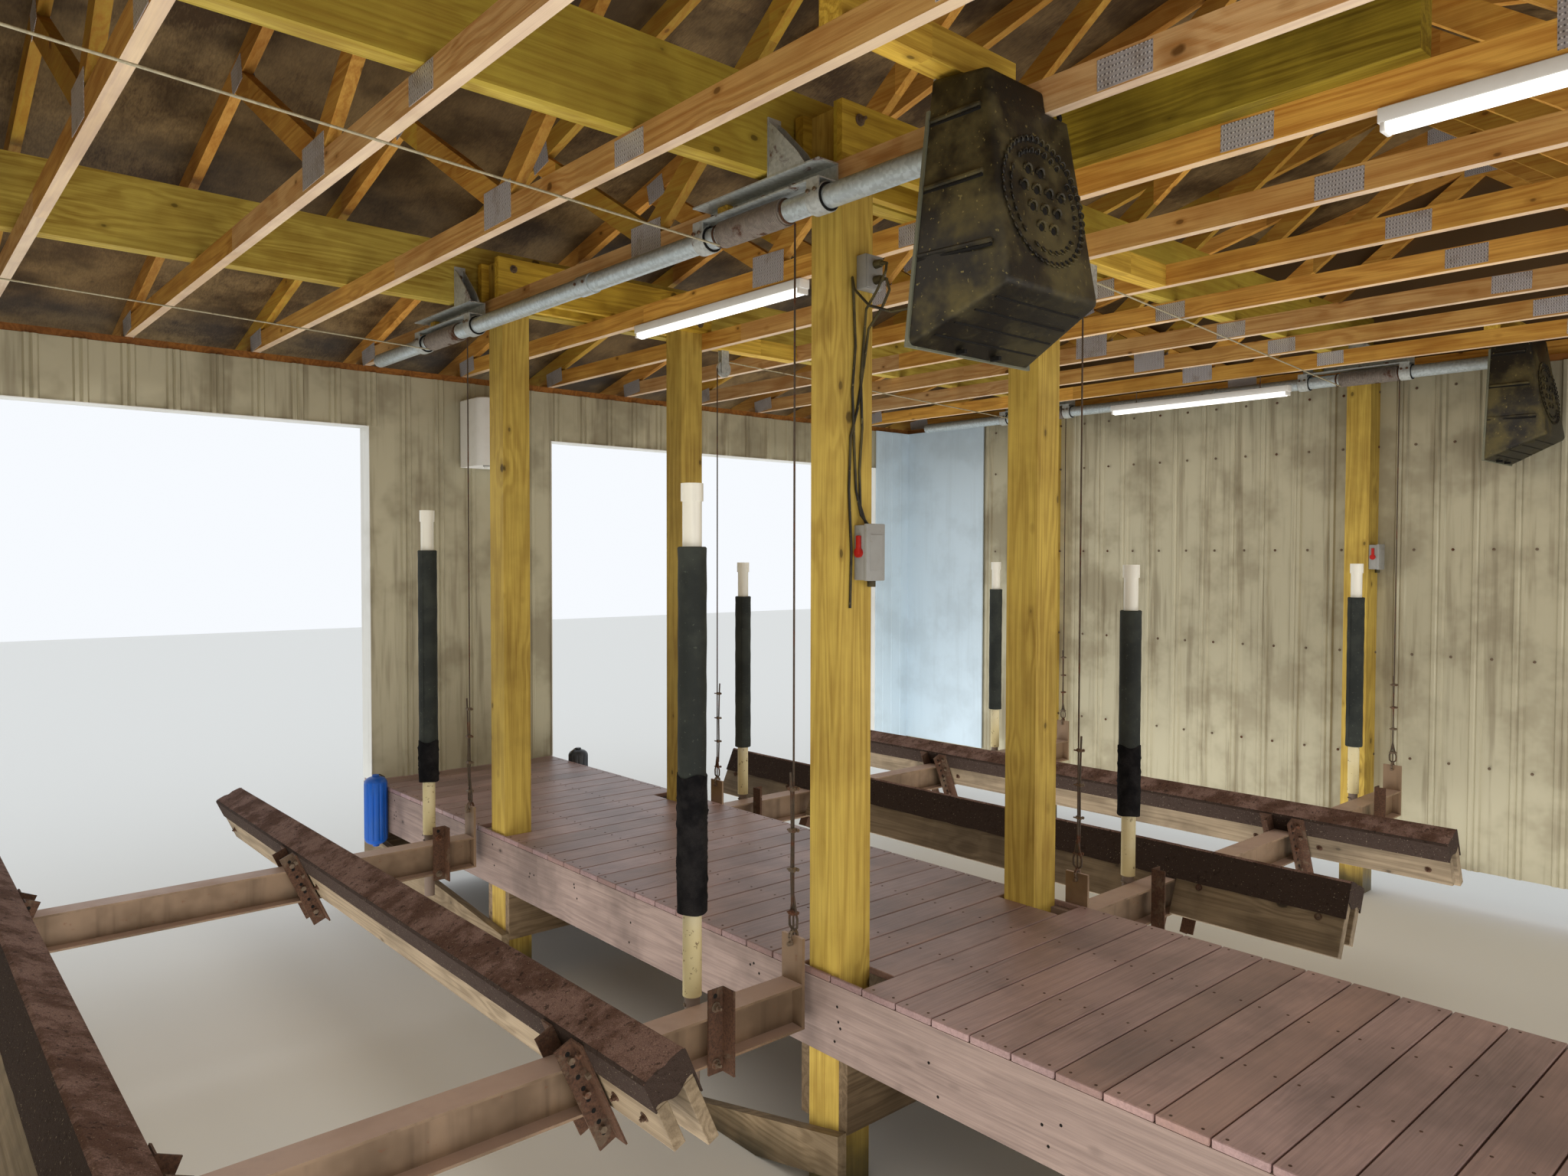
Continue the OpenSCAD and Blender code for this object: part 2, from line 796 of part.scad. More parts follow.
module dock_fenders() {
    for (s = [-1, 1])
        color(s > 0 ? "RoyalBlue" : "DarkSlateGray")
            translate([s * (dock_edge + fender_d / 2), 372 - wall_out_y,
                       deck_z - fender_drop + fender_d / 2])
                rotate_extrude()
                    intersection() {
                        union() {
                            square([fender_d / 2, fender_l - fender_d], center = false);
                            translate([0, fender_l - fender_d]) circle(r = fender_d / 2);
                            circle(r = fender_d / 2);
                        }
                        translate([0, -fender_d]) square([fender_d, 2 * fender_l]);
                    }
}

// Boat lifts: parts fixed under the roof

module hanger(pipe_x, lead, y) {
    start = y + lead;
    low = pipe_z + drum_r + 6;
    half = lay_r;
    strap_y = abs(y) > (near_beam + far_beam) / 2 ? -far_beam : -near_beam;
    translate([pipe_x, start - hanger_l, 0]) {
        difference() {
            block([-half, 0, low], [half, hanger_l, low + channel_h]);
            block([channel_t - half, -1, low + channel_t],
                  [half + 1, hanger_l + 1, low + channel_h - channel_t]);
        }
        for (ly = [0, hanger_l - leg_w]) {
            translate([0, ly, pipe_z])
                rotate([-90, 0, 0])
                    difference() {
                        cylinder(h = leg_w, r = half);
                        translate([0, 0, -1])
                            cylinder(h = leg_w + 2, r = pipe_d / 2 + clear);
                    }
            for (s = [-1, 1])
                translate([s * (half - channel_t / 2) - channel_t / 2, ly, pipe_z])
                    cube([channel_t, leg_w, low - pipe_z]);
        }
    }
    block([pipe_x - half + 30, strap_y, low + channel_h + clear],
          [pipe_x + half, strap_y + channel_t, tie_top + lift_beam_h * 0.6]);
}

left_pipe_x = left_cable_x + lay_r;
right_pipe_x = right_cable_x + lay_r;

// Steel plate between the timber and the back of a motor cover
module motor_plate(pipe_x) {
    difference() {
        block([pipe_x - 50, cover_y - mount_t, tie_z - cover_h / 2],
              [pipe_x + 145, cover_y, tie_top]);
        translate([pipe_x, cover_y - mount_t - 1, pipe_z])
            rotate([-90, 0, 0]) cylinder(h = mount_t + 2, r = pipe_d / 2 + 4);
    }
}

module pipe_hangers() {
    color(steel) {
        motor_plate(left_pipe_x);
        motor_plate(right_pipe_x);
        for (y = left_ys) hanger(left_pipe_x, left_lead, y);
        for (y = right_ys) hanger(right_pipe_x, right_lead, y);
    }
}

cheek_gap = 24;
cheek_t = 5;

// Pulley, its axle and the fork that hangs it from the timber above
module pulley(x, y) {
    wheel_x = x - pulley_r - cable_r;
    translate([wheel_x, y, pulley_z]) {
        rotate([90, 0, 0])
            rotate_extrude()
                polygon([[8, -8], [pulley_r + 5, -8], [pulley_r, -4],
                         [pulley_r, 4], [pulley_r + 5, 8], [8, 8]]);
        rotate([90, 0, 0])
            cylinder(h = cheek_gap + 2 * cheek_t, r = 8 - eps, center = true);
        for (s = [-1, 1])
            translate([-25, s * (cheek_gap + cheek_t) / 2 - cheek_t / 2, -25])
                cube([50, cheek_t, tie_z - pulley_z + 25]);
    }
}

module cable_pulleys() {
    color(steel) {
        for (y = left_ys) pulley(left_pulley_x, y);
        for (y = right_ys) pulley(right_pulley_x, y);
    }
}

// How far beside the pipe's axis, or under it, a cable comes clear of its winding
wind_off = sqrt(drum_r * drum_r - (lay_r - cable_r) * (lay_r - cable_r)) + clear;

// Each leaves the underside of its winding and passes over its pulley
module cross_cable(pipe_x, pulley_x, y) {
    bar([pipe_x + wind_off, y - drum_l + 2 * drum_near, pipe_z - lay_r],
        [pulley_x - pulley_r - cable_r, y, pulley_z + pulley_r + cable_r], cable_r);
}

module cross_cables() {
    color("DimGray") {
        for (y = left_ys) cross_cable(left_pipe_x, left_pulley_x, y);
        for (y = right_ys) cross_cable(right_pipe_x, right_pulley_x, y);
    }
}

// Moulded cover: a side outline crossed with a tapering plan and front. Above
// the trusses' undersides it is cut off at cut_x to pass beside a truss.
module cover_solid(grow, cut_x, side) {
    top = tie_z + cover_rise;
    low = top - cover_h;
    difference() {
        intersection() {
            profile_yz([
                [cover_y, low - grow], [cover_y, top + grow],
                [cover_y + cover_l * 0.67 + grow, top - 25 + grow],
                [cover_y + cover_l + grow, low + 125 - grow]
            ], 0, cover_w * 2);
            translate([0, 0, low - 20])
                linear_extrude(cover_h + 40)
                    polygon([
                        [-cover_w / 2 - grow, cover_y], [cover_w / 2 + grow, cover_y],
                        [cover_w * 0.38 + grow, cover_y + cover_l + grow],
                        [-cover_w * 0.38 - grow, cover_y + cover_l + grow]
                    ]);
            translate([0, cover_y + cover_l + 20, 0])
                rotate([90, 0, 0])
                    linear_extrude(cover_l + 40)
                        polygon([
                            [-cover_w / 2 - grow, low - 20], [cover_w / 2 + grow, low - 20],
                            [cover_w * 0.315 + grow, top + 20],
                            [-cover_w * 0.315 - grow, top + 20]
                        ]);
        }
        block([min(side * cover_w, cut_x + side * grow), cover_y - 1, tie_z - 5 + grow],
              [max(side * cover_w, cut_x + side * grow), cover_y + cover_l, top + 10]);
    }
}

cover_wall = 5;
// The cover by the side wall sits off its pipe, clear of the lining
cover_shift = max(0, cover_w / 2 + 10 - clear_x - right_pipe_x);

// A cover over the pipe's end, cut on the given side to clear the truss at truss_x
module motor_cover(pipe_x, shift, truss_x, side) {
    cut_x = truss_x - side * (plank_t / 2 + 5) - pipe_x - shift;
    translate([pipe_x + shift, 0, 0])
        difference() {
            cover_solid(0, cut_x, side);
            difference() {
                cover_solid(-cover_wall, cut_x, side);
                block([-cover_w, cover_y - 1, 0], [cover_w, cover_y + 6, 2 * tie_z]);
            }
            translate([-shift, cover_y - 1, pipe_z])
                rotate([-90, 0, 0]) cylinder(h = 8, r = pipe_d / 2 + 4);
        }
}

module motor_covers() {
    color("DimGray") {
        motor_cover(left_pipe_x, 0, truss_pitch, -1);
        motor_cover(right_pipe_x, cover_shift, -last_truss, 1);
    }
}

// Boat lifts: moving parts

module drive_pipe(pipe_x, ys) {
    translate([pipe_x, 0, pipe_z])
        rotate([-90, 0, 0]) {
            translate([0, 0, pipe_end_y])
                cylinder(h = pipe_start_y - pipe_end_y, r = pipe_d / 2);
            for (y = ys)
                translate([0, 0, y + drum_near - drum_l])
                    cylinder(h = drum_l, r = drum_r);
        }
}

module left_drive_pipe() { color(steel) drive_pipe(left_pipe_x, left_ys); }
module right_drive_pipe() { color(steel) drive_pipe(right_pipe_x, right_ys); }

module drop_cables(cable_x, pulley_x, ys) {
    for (y = ys) {
        translate([cable_x, y, plate_top])
            cylinder(h = pipe_z - wind_off - plate_top, r = cable_r);
        translate([pulley_x + clear, y, plate_top])
            cylinder(h = pulley_z - plate_top, r = cable_r);
    }
}

module left_drop_cables() {
    color("DimGray") drop_cables(left_cable_x, left_pulley_x, left_ys);
}
module right_drop_cables() {
    color("DimGray") drop_cables(right_cable_x, right_pulley_x, right_ys);
}

end_plate_t = 12;
flange_t = 8;
web_t = 6;

// Rolled beam along X, closed at each end by a lift plate
module cradle_beam(x1, x2, y) {
    l = x2 - x1 - end_plate_t;
    translate([x1 + end_plate_t / 2, y, beam_z])
        rotate([90, 0, 90])
            linear_extrude(l)
                polygon([
                    [-steel_w / 2, 0], [steel_w / 2, 0], [steel_w / 2, flange_t],
                    [web_t / 2, flange_t + 3], [web_t / 2, steel_h - flange_t - 3],
                    [steel_w / 2, steel_h - flange_t], [steel_w / 2, steel_h],
                    [-steel_w / 2, steel_h], [-steel_w / 2, steel_h - flange_t],
                    [-web_t / 2, steel_h - flange_t - 3], [-web_t / 2, flange_t + 3],
                    [-steel_w / 2, flange_t]
                ]);
    for (x = [x1, x2])
        translate([x - end_plate_t / 2, y - steel_w / 2, beam_z])
            cube([end_plate_t, steel_w, plate_top - beam_z]);
}

module left_cradle_beams() {
    color("Sienna")
        for (y = left_ys) cradle_beam(left_cable_x, left_pulley_x, y);
}
module right_cradle_beams() {
    color("Sienna")
        for (y = right_ys) cradle_beam(right_cable_x, right_pulley_x, y);
}

// Guide posts stand behind the beams, clamped on the far side
cradle_l = left_pulley_x - left_cable_x;
// Guides' distances from a cradle's dock end, near and far, and from its wall
// end, as shares of its length
left_ins = [0.1068, 0.054];
right_ins = [0.1491, 0.0731];
wall_ins = [0.1193, 0.2231];
stub_d = 48;
stub_low = 130;
stub_up = 260;
foam_low = 260;
foam_short = 190;
cap_d = 70;

function guide_spots(dock_x, wall_x, ys, ins) =
    let (l = sign(wall_x - dock_x) * cradle_l)
    [
        for (i = [0, 1])
            each [[dock_x + l * ins[i], ys[i]], [wall_x - l * wall_ins[i], ys[i]]]
    ];
guide_back = steel_w / 2 + stub_d / 2;

module guide_post(x, y, top) {
    foot = steel_top + 25;
    translate([x, y - guide_back, 0]) {
        translate([0, 0, beam_z - stub_low])
            cylinder(h = foot - beam_z + stub_low + stub_up, r = stub_d / 2);
        difference() {
            translate([0, 0, foot]) cylinder(h = top - foot, r = guide_d / 2);
            translate([0, 0, foot - 1]) cylinder(h = stub_up + 2, r = stub_d / 2 - eps);
        }
        translate([0, 0, top - 50]) cylinder(h = 55, r = cap_d / 2);
    }
}

module guide_foam(x, y, top) {
    translate([x, y - guide_back, deck_z + foam_low])
        difference() {
            cylinder(h = top - foam_short - deck_z - foam_low, r = foam_d / 2);
            translate([0, 0, -1])
                cylinder(h = top, r = guide_d / 2 + clear);
        }
}

left_spots = guide_spots(left_cable_x, left_pulley_x, left_ys, left_ins);
right_spots = guide_spots(right_pulley_x, right_cable_x, right_ys, right_ins);

module guide_posts(spots, top) {
    for (g = spots) guide_post(g[0], g[1], top);
}
module guide_foams(spots, top) {
    for (g = spots) guide_foam(g[0], g[1], top);
}

module left_guide_posts() {
    color("Ivory")
        guide_posts(left_spots, deck_z + left_guide_h);
}
module right_guide_posts() {
    color("Ivory")
        guide_posts(right_spots, deck_z + right_guide_h);
}
module left_guide_foam() {
    color("DarkSlateGray")
        guide_foams(left_spots, deck_z + left_guide_h);
}
module right_guide_foam() {
    color("DarkSlateGray")
        guide_foams(right_spots, deck_z + right_guide_h);
}

// Bunks: two planks on edge under one carpet, mirrored about the slip's middle
bunk_in = cradle_l * 0.164;
bunk_rise = 115;
carpet_t = 5;
angle_w = 60;
angle_t = 6;
bunk_top = (bunk_rise - clear - bunk_w / 2 * sin(bunk_tilt)) / cos(bunk_tilt);

// Frame of one bunk: x outwards and z up along the tilt, from the carpet's top
module tilted(mid, side) {
    translate([mid + side * bunk_in, 0, steel_top + bunk_rise])
        rotate([0, side * -bunk_tilt, 0])
            mirror([side < 0 ? 1 : 0, 0, 0]) children();
}

// The carpeted top runs over the beams, and the planks below stop at each beam
module bunk_pair(mid, ys, y1, y2) {
    off = steel_w / 2 + clear;
    cuts = [y1, ys[1] - off, ys[1] + off, ys[0] - off, ys[0] + off, y2];
    inner = bunk_w / 2 - carpet_t;
    for (side = [-1, 1])
        tilted(mid, side) {
            translate([-bunk_w / 2, y1, -bunk_top]) cube([bunk_w, y2 - y1, bunk_top]);
            for (i = [0:2:4]) {
                block([inner - bunk_t, cuts[i], -bunk_out_h],
                      [inner, cuts[i + 1], -bunk_top - clear]);
                block([-inner, cuts[i], -bunk_in_h],
                      [bunk_t - inner, cuts[i + 1], -bunk_top - clear]);
            }
        }
}

// Angle iron upright with its corner on x, y and its legs along sx and +Y
module angle_iron(x, y, low, high, w, sx) {
    translate([x, y, low])
        mirror([sx < 0 ? 1 : 0, 0, 0]) {
            cube([w, angle_t, high - low]);
            cube([angle_t, w, high - low]);
        }
}

// Irons that hold the bunks to the beams, and those that clamp the guides
module bracket_set(mid, ys, spots) {
    face = steel_w / 2 + clear;
    low = (steel_top + bunk_rise - beam_z + 60) / cos(bunk_tilt);
    for (y = ys, side = [-1, 1], f = [0, 1])
        tilted(mid, side)
            translate([0, y, 0])
                mirror([0, f, 0])
                    angle_iron(-bunk_w / 2 - clear, face, -low, -carpet_t, angle_w, -1);
    for (g = spots)
        angle_iron(g[0] - sign(g[0]) * 25, g[1] + face, beam_z - 25, steel_top + 85, 60,
                   sign(g[0]));
}

bunk_shift = cradle_l * 0.0984;
left_mid = (left_cable_x + left_pulley_x) / 2 - bunk_shift;
right_mid = (right_cable_x + right_pulley_x) / 2 + bunk_shift;

module left_bunks() {
    color("SaddleBrown")
        bunk_pair(left_mid, left_ys, left_ys[1] - 1260, left_ys[0] + 400);
}
module right_bunks() {
    color("SaddleBrown")
        bunk_pair(right_mid, right_ys, right_ys[1] - 770, right_ys[0] + 750);
}
module left_bunk_brackets() {
    color(steel)
        bracket_set(left_mid, left_ys, left_spots);
}
module right_bunk_brackets() {
    color(steel)
        bracket_set(right_mid, right_ys, right_spots);
}

dock_posts();
front_piles();
dock_beams();
dock_rim();
dock_joists();
dock_braces();
dock_deck();
platform_frame();
platform_deck();
outer_piles();
wall_posts();
wall_sills();
front_wall();
left_wall();
right_wall();
back_wall();
outer_siding();
wall_lining();
opening_trim();
corner_panels();
top_plates();
truss_ties();
truss_rafters();
truss_webs();
gable_siding();
roof_boarding();
roof_sheets();
ridge_cap();
eave_boards();
header_beams();
side_planks();
lift_beams();
lift_blocking();
strip_lights();
water_heater();
switch_boxes();
dock_fenders();
pipe_hangers();
cable_pulleys();
cross_cables();
motor_covers();
left_drive_pipe();
left_drop_cables();
left_cradle_beams();
left_guide_posts();
left_guide_foam();
left_bunk_brackets();
left_bunks();
right_drive_pipe();
right_drop_cables();
right_cradle_beams();
right_guide_posts();
right_guide_foam();
right_bunk_brackets();
right_bunks();
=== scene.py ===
"""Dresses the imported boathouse: camera, light, finishes and detailed pieces."""

from __future__ import annotations

import logging
import math
import random
from collections.abc import Iterable, Sequence
from dataclasses import dataclass
from enum import Enum

import bmesh
import bpy
from mathutils import Matrix, Vector


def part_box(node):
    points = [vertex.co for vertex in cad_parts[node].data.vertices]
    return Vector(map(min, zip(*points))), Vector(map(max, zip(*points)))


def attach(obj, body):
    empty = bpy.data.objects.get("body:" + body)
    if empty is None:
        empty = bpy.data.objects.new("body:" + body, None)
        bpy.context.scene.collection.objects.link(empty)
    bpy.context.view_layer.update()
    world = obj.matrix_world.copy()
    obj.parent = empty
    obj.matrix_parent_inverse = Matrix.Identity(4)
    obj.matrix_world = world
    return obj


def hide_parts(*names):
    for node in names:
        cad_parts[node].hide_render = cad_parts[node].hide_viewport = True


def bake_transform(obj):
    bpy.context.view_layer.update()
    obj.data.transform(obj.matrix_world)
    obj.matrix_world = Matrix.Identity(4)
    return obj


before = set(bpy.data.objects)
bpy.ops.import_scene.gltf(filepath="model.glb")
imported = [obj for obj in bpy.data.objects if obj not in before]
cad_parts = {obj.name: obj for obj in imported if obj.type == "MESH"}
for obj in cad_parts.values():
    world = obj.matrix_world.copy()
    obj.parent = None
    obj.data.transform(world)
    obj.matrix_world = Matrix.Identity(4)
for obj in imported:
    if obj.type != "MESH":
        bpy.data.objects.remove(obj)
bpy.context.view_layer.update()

Point = Sequence[float]
Colour = tuple[float, float, float]
Span = tuple[float, float]
Triple = tuple[float, float, float]
Rings = Sequence[tuple[float, float, float, int]]
Shape = bmesh.types.BMesh
Material = bpy.types.Material
Socket = bpy.types.NodeSocket
Finishes = dict[str, Material]
LOG = logging.getLogger("boathouse")
TURN = 2 * math.pi
POST_ROWS = (-2.794, -0.474, 1.846)
PIPE_HEIGHT = 3.188
GUIDE_SETBACK = 0.074
IDENTITY = Matrix.Identity(4)


# ---------------- shapes


def tint(red: int, green: int, blue: int) -> Colour:
    """Gives the linear colour of a screen colour, whose channels go from 0 to 255."""
    return tuple(
        (c / 255 / 12.92) if c <= 10 else ((c / 255 + 0.055) / 1.055) ** 2.4
        for c in (red, green, blue)
    )


def place(at: Point = (0, 0, 0), turn: Matrix | None = None) -> Matrix:
    """Gives the matrix that turns a shape and then moves its origin to a point."""
    return Matrix.Translation(Vector(at)) @ (turn if turn is not None else IDENTITY)


def spin_about(axis: str, degrees: float) -> Matrix:
    """Gives the matrix of a turn about one axis, in degrees."""
    return Matrix.Rotation(math.radians(degrees), 4, axis)


def along(start: Point, end: Point) -> Matrix:
    """Gives the matrix that lays a shape's Z axis from one point towards another."""
    direction = Vector(end) - Vector(start)
    return place(start, direction.to_track_quat("Z", "Y").to_matrix().to_4x4())


def rise(edge: bmesh.types.BMEdge) -> float:
    """Gives the height that an edge climbs."""
    return abs(edge.verts[0].co.z - edge.verts[1].co.z)


def corners(node: str) -> tuple[Vector, Vector]:
    """Gives the lowest and the highest corner of a CAD node."""
    low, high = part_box(node)
    return Vector(low), Vector(high)


def soften(shape: Shape, edges: Iterable, width: float, steps: int = 1) -> None:
    """Bevels edges of a shape.

    Args:
        shape: The shape to change.
        edges: The edges to bevel.
        width: Width of the bevel.
        steps: How many faces cross it.
    """
    bmesh.ops.bevel(
        shape,
        geom=list(edges),
        offset=width,
        segments=steps,
        profile=0.5,
        affect="EDGES",
        material=-1,
        clamp_overlap=True,
    )


def block(low: Point, high: Point, bevel: float = 0.0, steps: int = 1) -> Shape:
    """Makes a box between two corners.

    Args:
        low: Its lowest corner.
        high: Its highest corner.
        bevel: Width of the bevel on its edges, or 0.
        steps: Faces across the bevel.

    Returns:
        The shape.
    """
    shape = bmesh.new()
    low, high = Vector(low), Vector(high)
    size = Matrix.Diagonal((*(high - low), 1))
    bmesh.ops.create_cube(shape, size=1, matrix=place((low + high) / 2, size))
    if bevel > 0:
        soften(shape, shape.edges, bevel, steps)
    return shape


def rod(
    start: Point, end: Point, radius: float, sides: int = 16, tip: float | None = None,
    bevel: float = 0.0,
) -> Shape:
    """Makes a round bar between two points.

    Args:
        start: Middle of one end.
        end: Middle of the other end.
        radius: Its radius at the start.
        sides: How many faces go round it.
        tip: Its radius at the end, if that differs.
        bevel: Width of the bevel round both ends, or 0.

    Returns:
        The shape.
    """
    shape = bmesh.new()
    length = (Vector(end) - Vector(start)).length
    bmesh.ops.create_cone(
        shape,
        cap_ends=True,
        segments=sides,
        radius1=radius,
        radius2=radius if tip is None else tip,
        depth=length,
        matrix=place((0, 0, length / 2)),
    )
    if bevel > 0:
        rings = [e for e in shape.edges if rise(e) < 1e-6]
        soften(shape, rings, bevel, 2)
    bmesh.ops.transform(shape, matrix=along(start, end), verts=shape.verts)
    return shape


def prism(outline: Iterable[Point], depth: float, turn: Matrix = IDENTITY) -> Shape:
    """Pushes a flat outline up along Z.

    Args:
        outline: Corners in the X-Y plane, in order.
        depth: How far it is pushed.
        turn: Where the finished shape goes.

    Returns:
        The shape.
    """
    shape = bmesh.new()
    face = shape.faces.new([shape.verts.new((x, y, 0)) for x, y in outline])
    push = bmesh.ops.extrude_face_region(shape, geom=[face])["geom"]
    top = [v for v in push if isinstance(v, bmesh.types.BMVert)]
    bmesh.ops.translate(shape, vec=(0, 0, depth), verts=top)
    bmesh.ops.recalc_face_normals(shape, faces=shape.faces)
    bmesh.ops.transform(shape, matrix=turn, verts=shape.verts)
    return shape


def lathe(outline: Sequence[Point], sides: int = 24, turn: Matrix = IDENTITY) -> Shape:
    """Spins an outline of radius and height about Z.

    Args:
        outline: Pairs of radius and height, from one end to the other.
        sides: Faces round it.
        turn: Where the finished shape goes.

    Returns:
        The shape.
    """
    shape = bmesh.new()
    verts = [shape.verts.new((r, 0, z)) for r, z in outline]
    edges = [shape.edges.new(pair) for pair in zip(verts, verts[1:])]
    bmesh.ops.spin(
        shape, geom=verts + edges, cent=(0, 0, 0), axis=(0, 0, 1), angle=TURN,
        steps=sides, use_merge=True,
    )
    bmesh.ops.remove_doubles(shape, verts=shape.verts, dist=1e-6)
    bmesh.ops.recalc_face_normals(shape, faces=shape.faces)
    bmesh.ops.transform(shape, matrix=turn, verts=shape.verts)
    return shape


def coil(
    radius: float, wire: float, pitch: float, turns: float, around: int = 18,
    sides: int = 6, turn: Matrix = IDENTITY,
) -> Shape:
    """Winds a round wire about Z into a helix with closed ends.

    Args:
        radius: Radius of the helix to the wire's middle.
        wire: Radius of the wire.
        pitch: Rise of one turn.
        turns: Number of turns.
        around: Steps in one turn.
        sides: Faces round the wire.
        turn: Where the finished shape goes.

    Returns:
        The shape.
    """
    shape = bmesh.new()
    ring = bmesh.ops.create_circle(
        shape, cap_ends=False, segments=sides, radius=wire,
        matrix=place((radius, 0, 0), spin_about("X", 90)),
    )["verts"]
    edges = shape.edges[:]
    steps = int(around * turns)
    bmesh.ops.spin(
        shape, geom=ring + edges, cent=(0, 0, 0), axis=(0, 0, 1),
        angle=TURN * turns, steps=steps, dvec=(0, 0, pitch / around),
    )
    bmesh.ops.holes_fill(shape, edges=[e for e in shape.edges if e.is_boundary], sides=0)
    bmesh.ops.recalc_face_normals(shape, faces=shape.faces)
    bmesh.ops.transform(shape, matrix=turn, verts=shape.verts)
    return shape


class Piece:
    """One object in the making, gathered from shapes that may differ in finish."""

    def __init__(self, name: str, *finishes: Material) -> None:
        """Starts an empty piece.

        Args:
            name: Name of the object.
            finishes: Its materials, in the order that shapes refer to them.
        """
        self.name = name
        self.finishes = finishes
        self.mesh = bmesh.new()

    def add(
        self, shape: Shape, finish: int = 0, at: Iterable[Matrix] = (IDENTITY,)
    ) -> None:
        """Copies a shape into the piece at each place, and uses the shape up.

        Args:
            shape: The shape to copy.
            finish: Which of the piece's materials it takes.
            at: The places of its copies.
        """
        for face in shape.faces:
            face.material_index = finish
        loose = bpy.data.meshes.new("loose")
        shape.to_mesh(loose)
        shape.free()
        for spot in at:
            copy = loose.copy()
            copy.transform(spot)
            if spot.determinant() < 0:
                copy.flip_normals()
            self.mesh.from_mesh(copy)
            bpy.data.meshes.remove(copy)
        bpy.data.meshes.remove(loose)

    def run(self, points: Sequence[Point], radius: float, sides: int, finish: int = 0,
            at: Sequence[Matrix] = (IDENTITY,)) -> None:
        """Adds a round bar along a line of points."""
        for start, end in zip(points, points[1:]):
            self.add(rod(start, end, radius, sides), finish, at)

    def bolt(self, at: Point, way: Point, parts: Rings,
             finish: int, spots: Sequence[Matrix] = (IDENTITY,)) -> None:
        """Adds the round parts of a bolt.

        Args:
            at: The point that the parts are measured from.
            way: The way that it sticks out.
            parts: Start, end, radius and number of sides of each part.
            finish: Which of the piece's materials it takes.
            spots: The places of its copies.
        """
        for start, end, radius, sides in parts:
            self.add(rod(Vector(at) + start * Vector(way), Vector(at) + end * Vector(way), radius,
                         sides), finish, spots)

    def finish(
        self, body: str, slot: str, stands_for: Iterable[str] = (), smooth: float = 35,
    ) -> bpy.types.Object:
        """Makes the object and rides it on its body.

        Args:
            body: The CAD body that it moves with.
            slot: Not used.
            stands_for: CAD nodes that it replaces.
            smooth: Angle in degrees past which an edge stays sharp.

        Returns:
            The object.
        """
        data = bpy.data.meshes.new(self.name)
        self.mesh.to_mesh(data)
        self.mesh.free()
        for material in self.finishes:
            data.materials.append(material)
        data.shade_smooth()
        data.set_sharp_from_angle(angle=math.radians(smooth))
        made = bpy.data.objects.new(self.name, data)
        bpy.context.scene.collection.objects.link(made)
        if body:
            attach(made, body)
        for node in stands_for:
            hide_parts(node)
        LOG.info("%s: %d faces on %s", self.name, len(data.polygons), body or "two bodies")
        return made


@dataclass
class Fitter:
    """Whatever makes pieces from the stock of finishes."""

    finishes: Finishes

    def piece(self, name: str, *looks: str) -> Piece:
        """Starts a piece with the named finishes, in the order that shapes refer to them."""
        return Piece(name, *(self.finishes[look] for look in looks))


# ---------------- finishes


class Axis(Enum):
    """The way that a timber's grain runs, as the order of its coordinates."""

    X = (0, 1, 2)
    Y = (1, 0, 2)
    Z = (2, 0, 1)


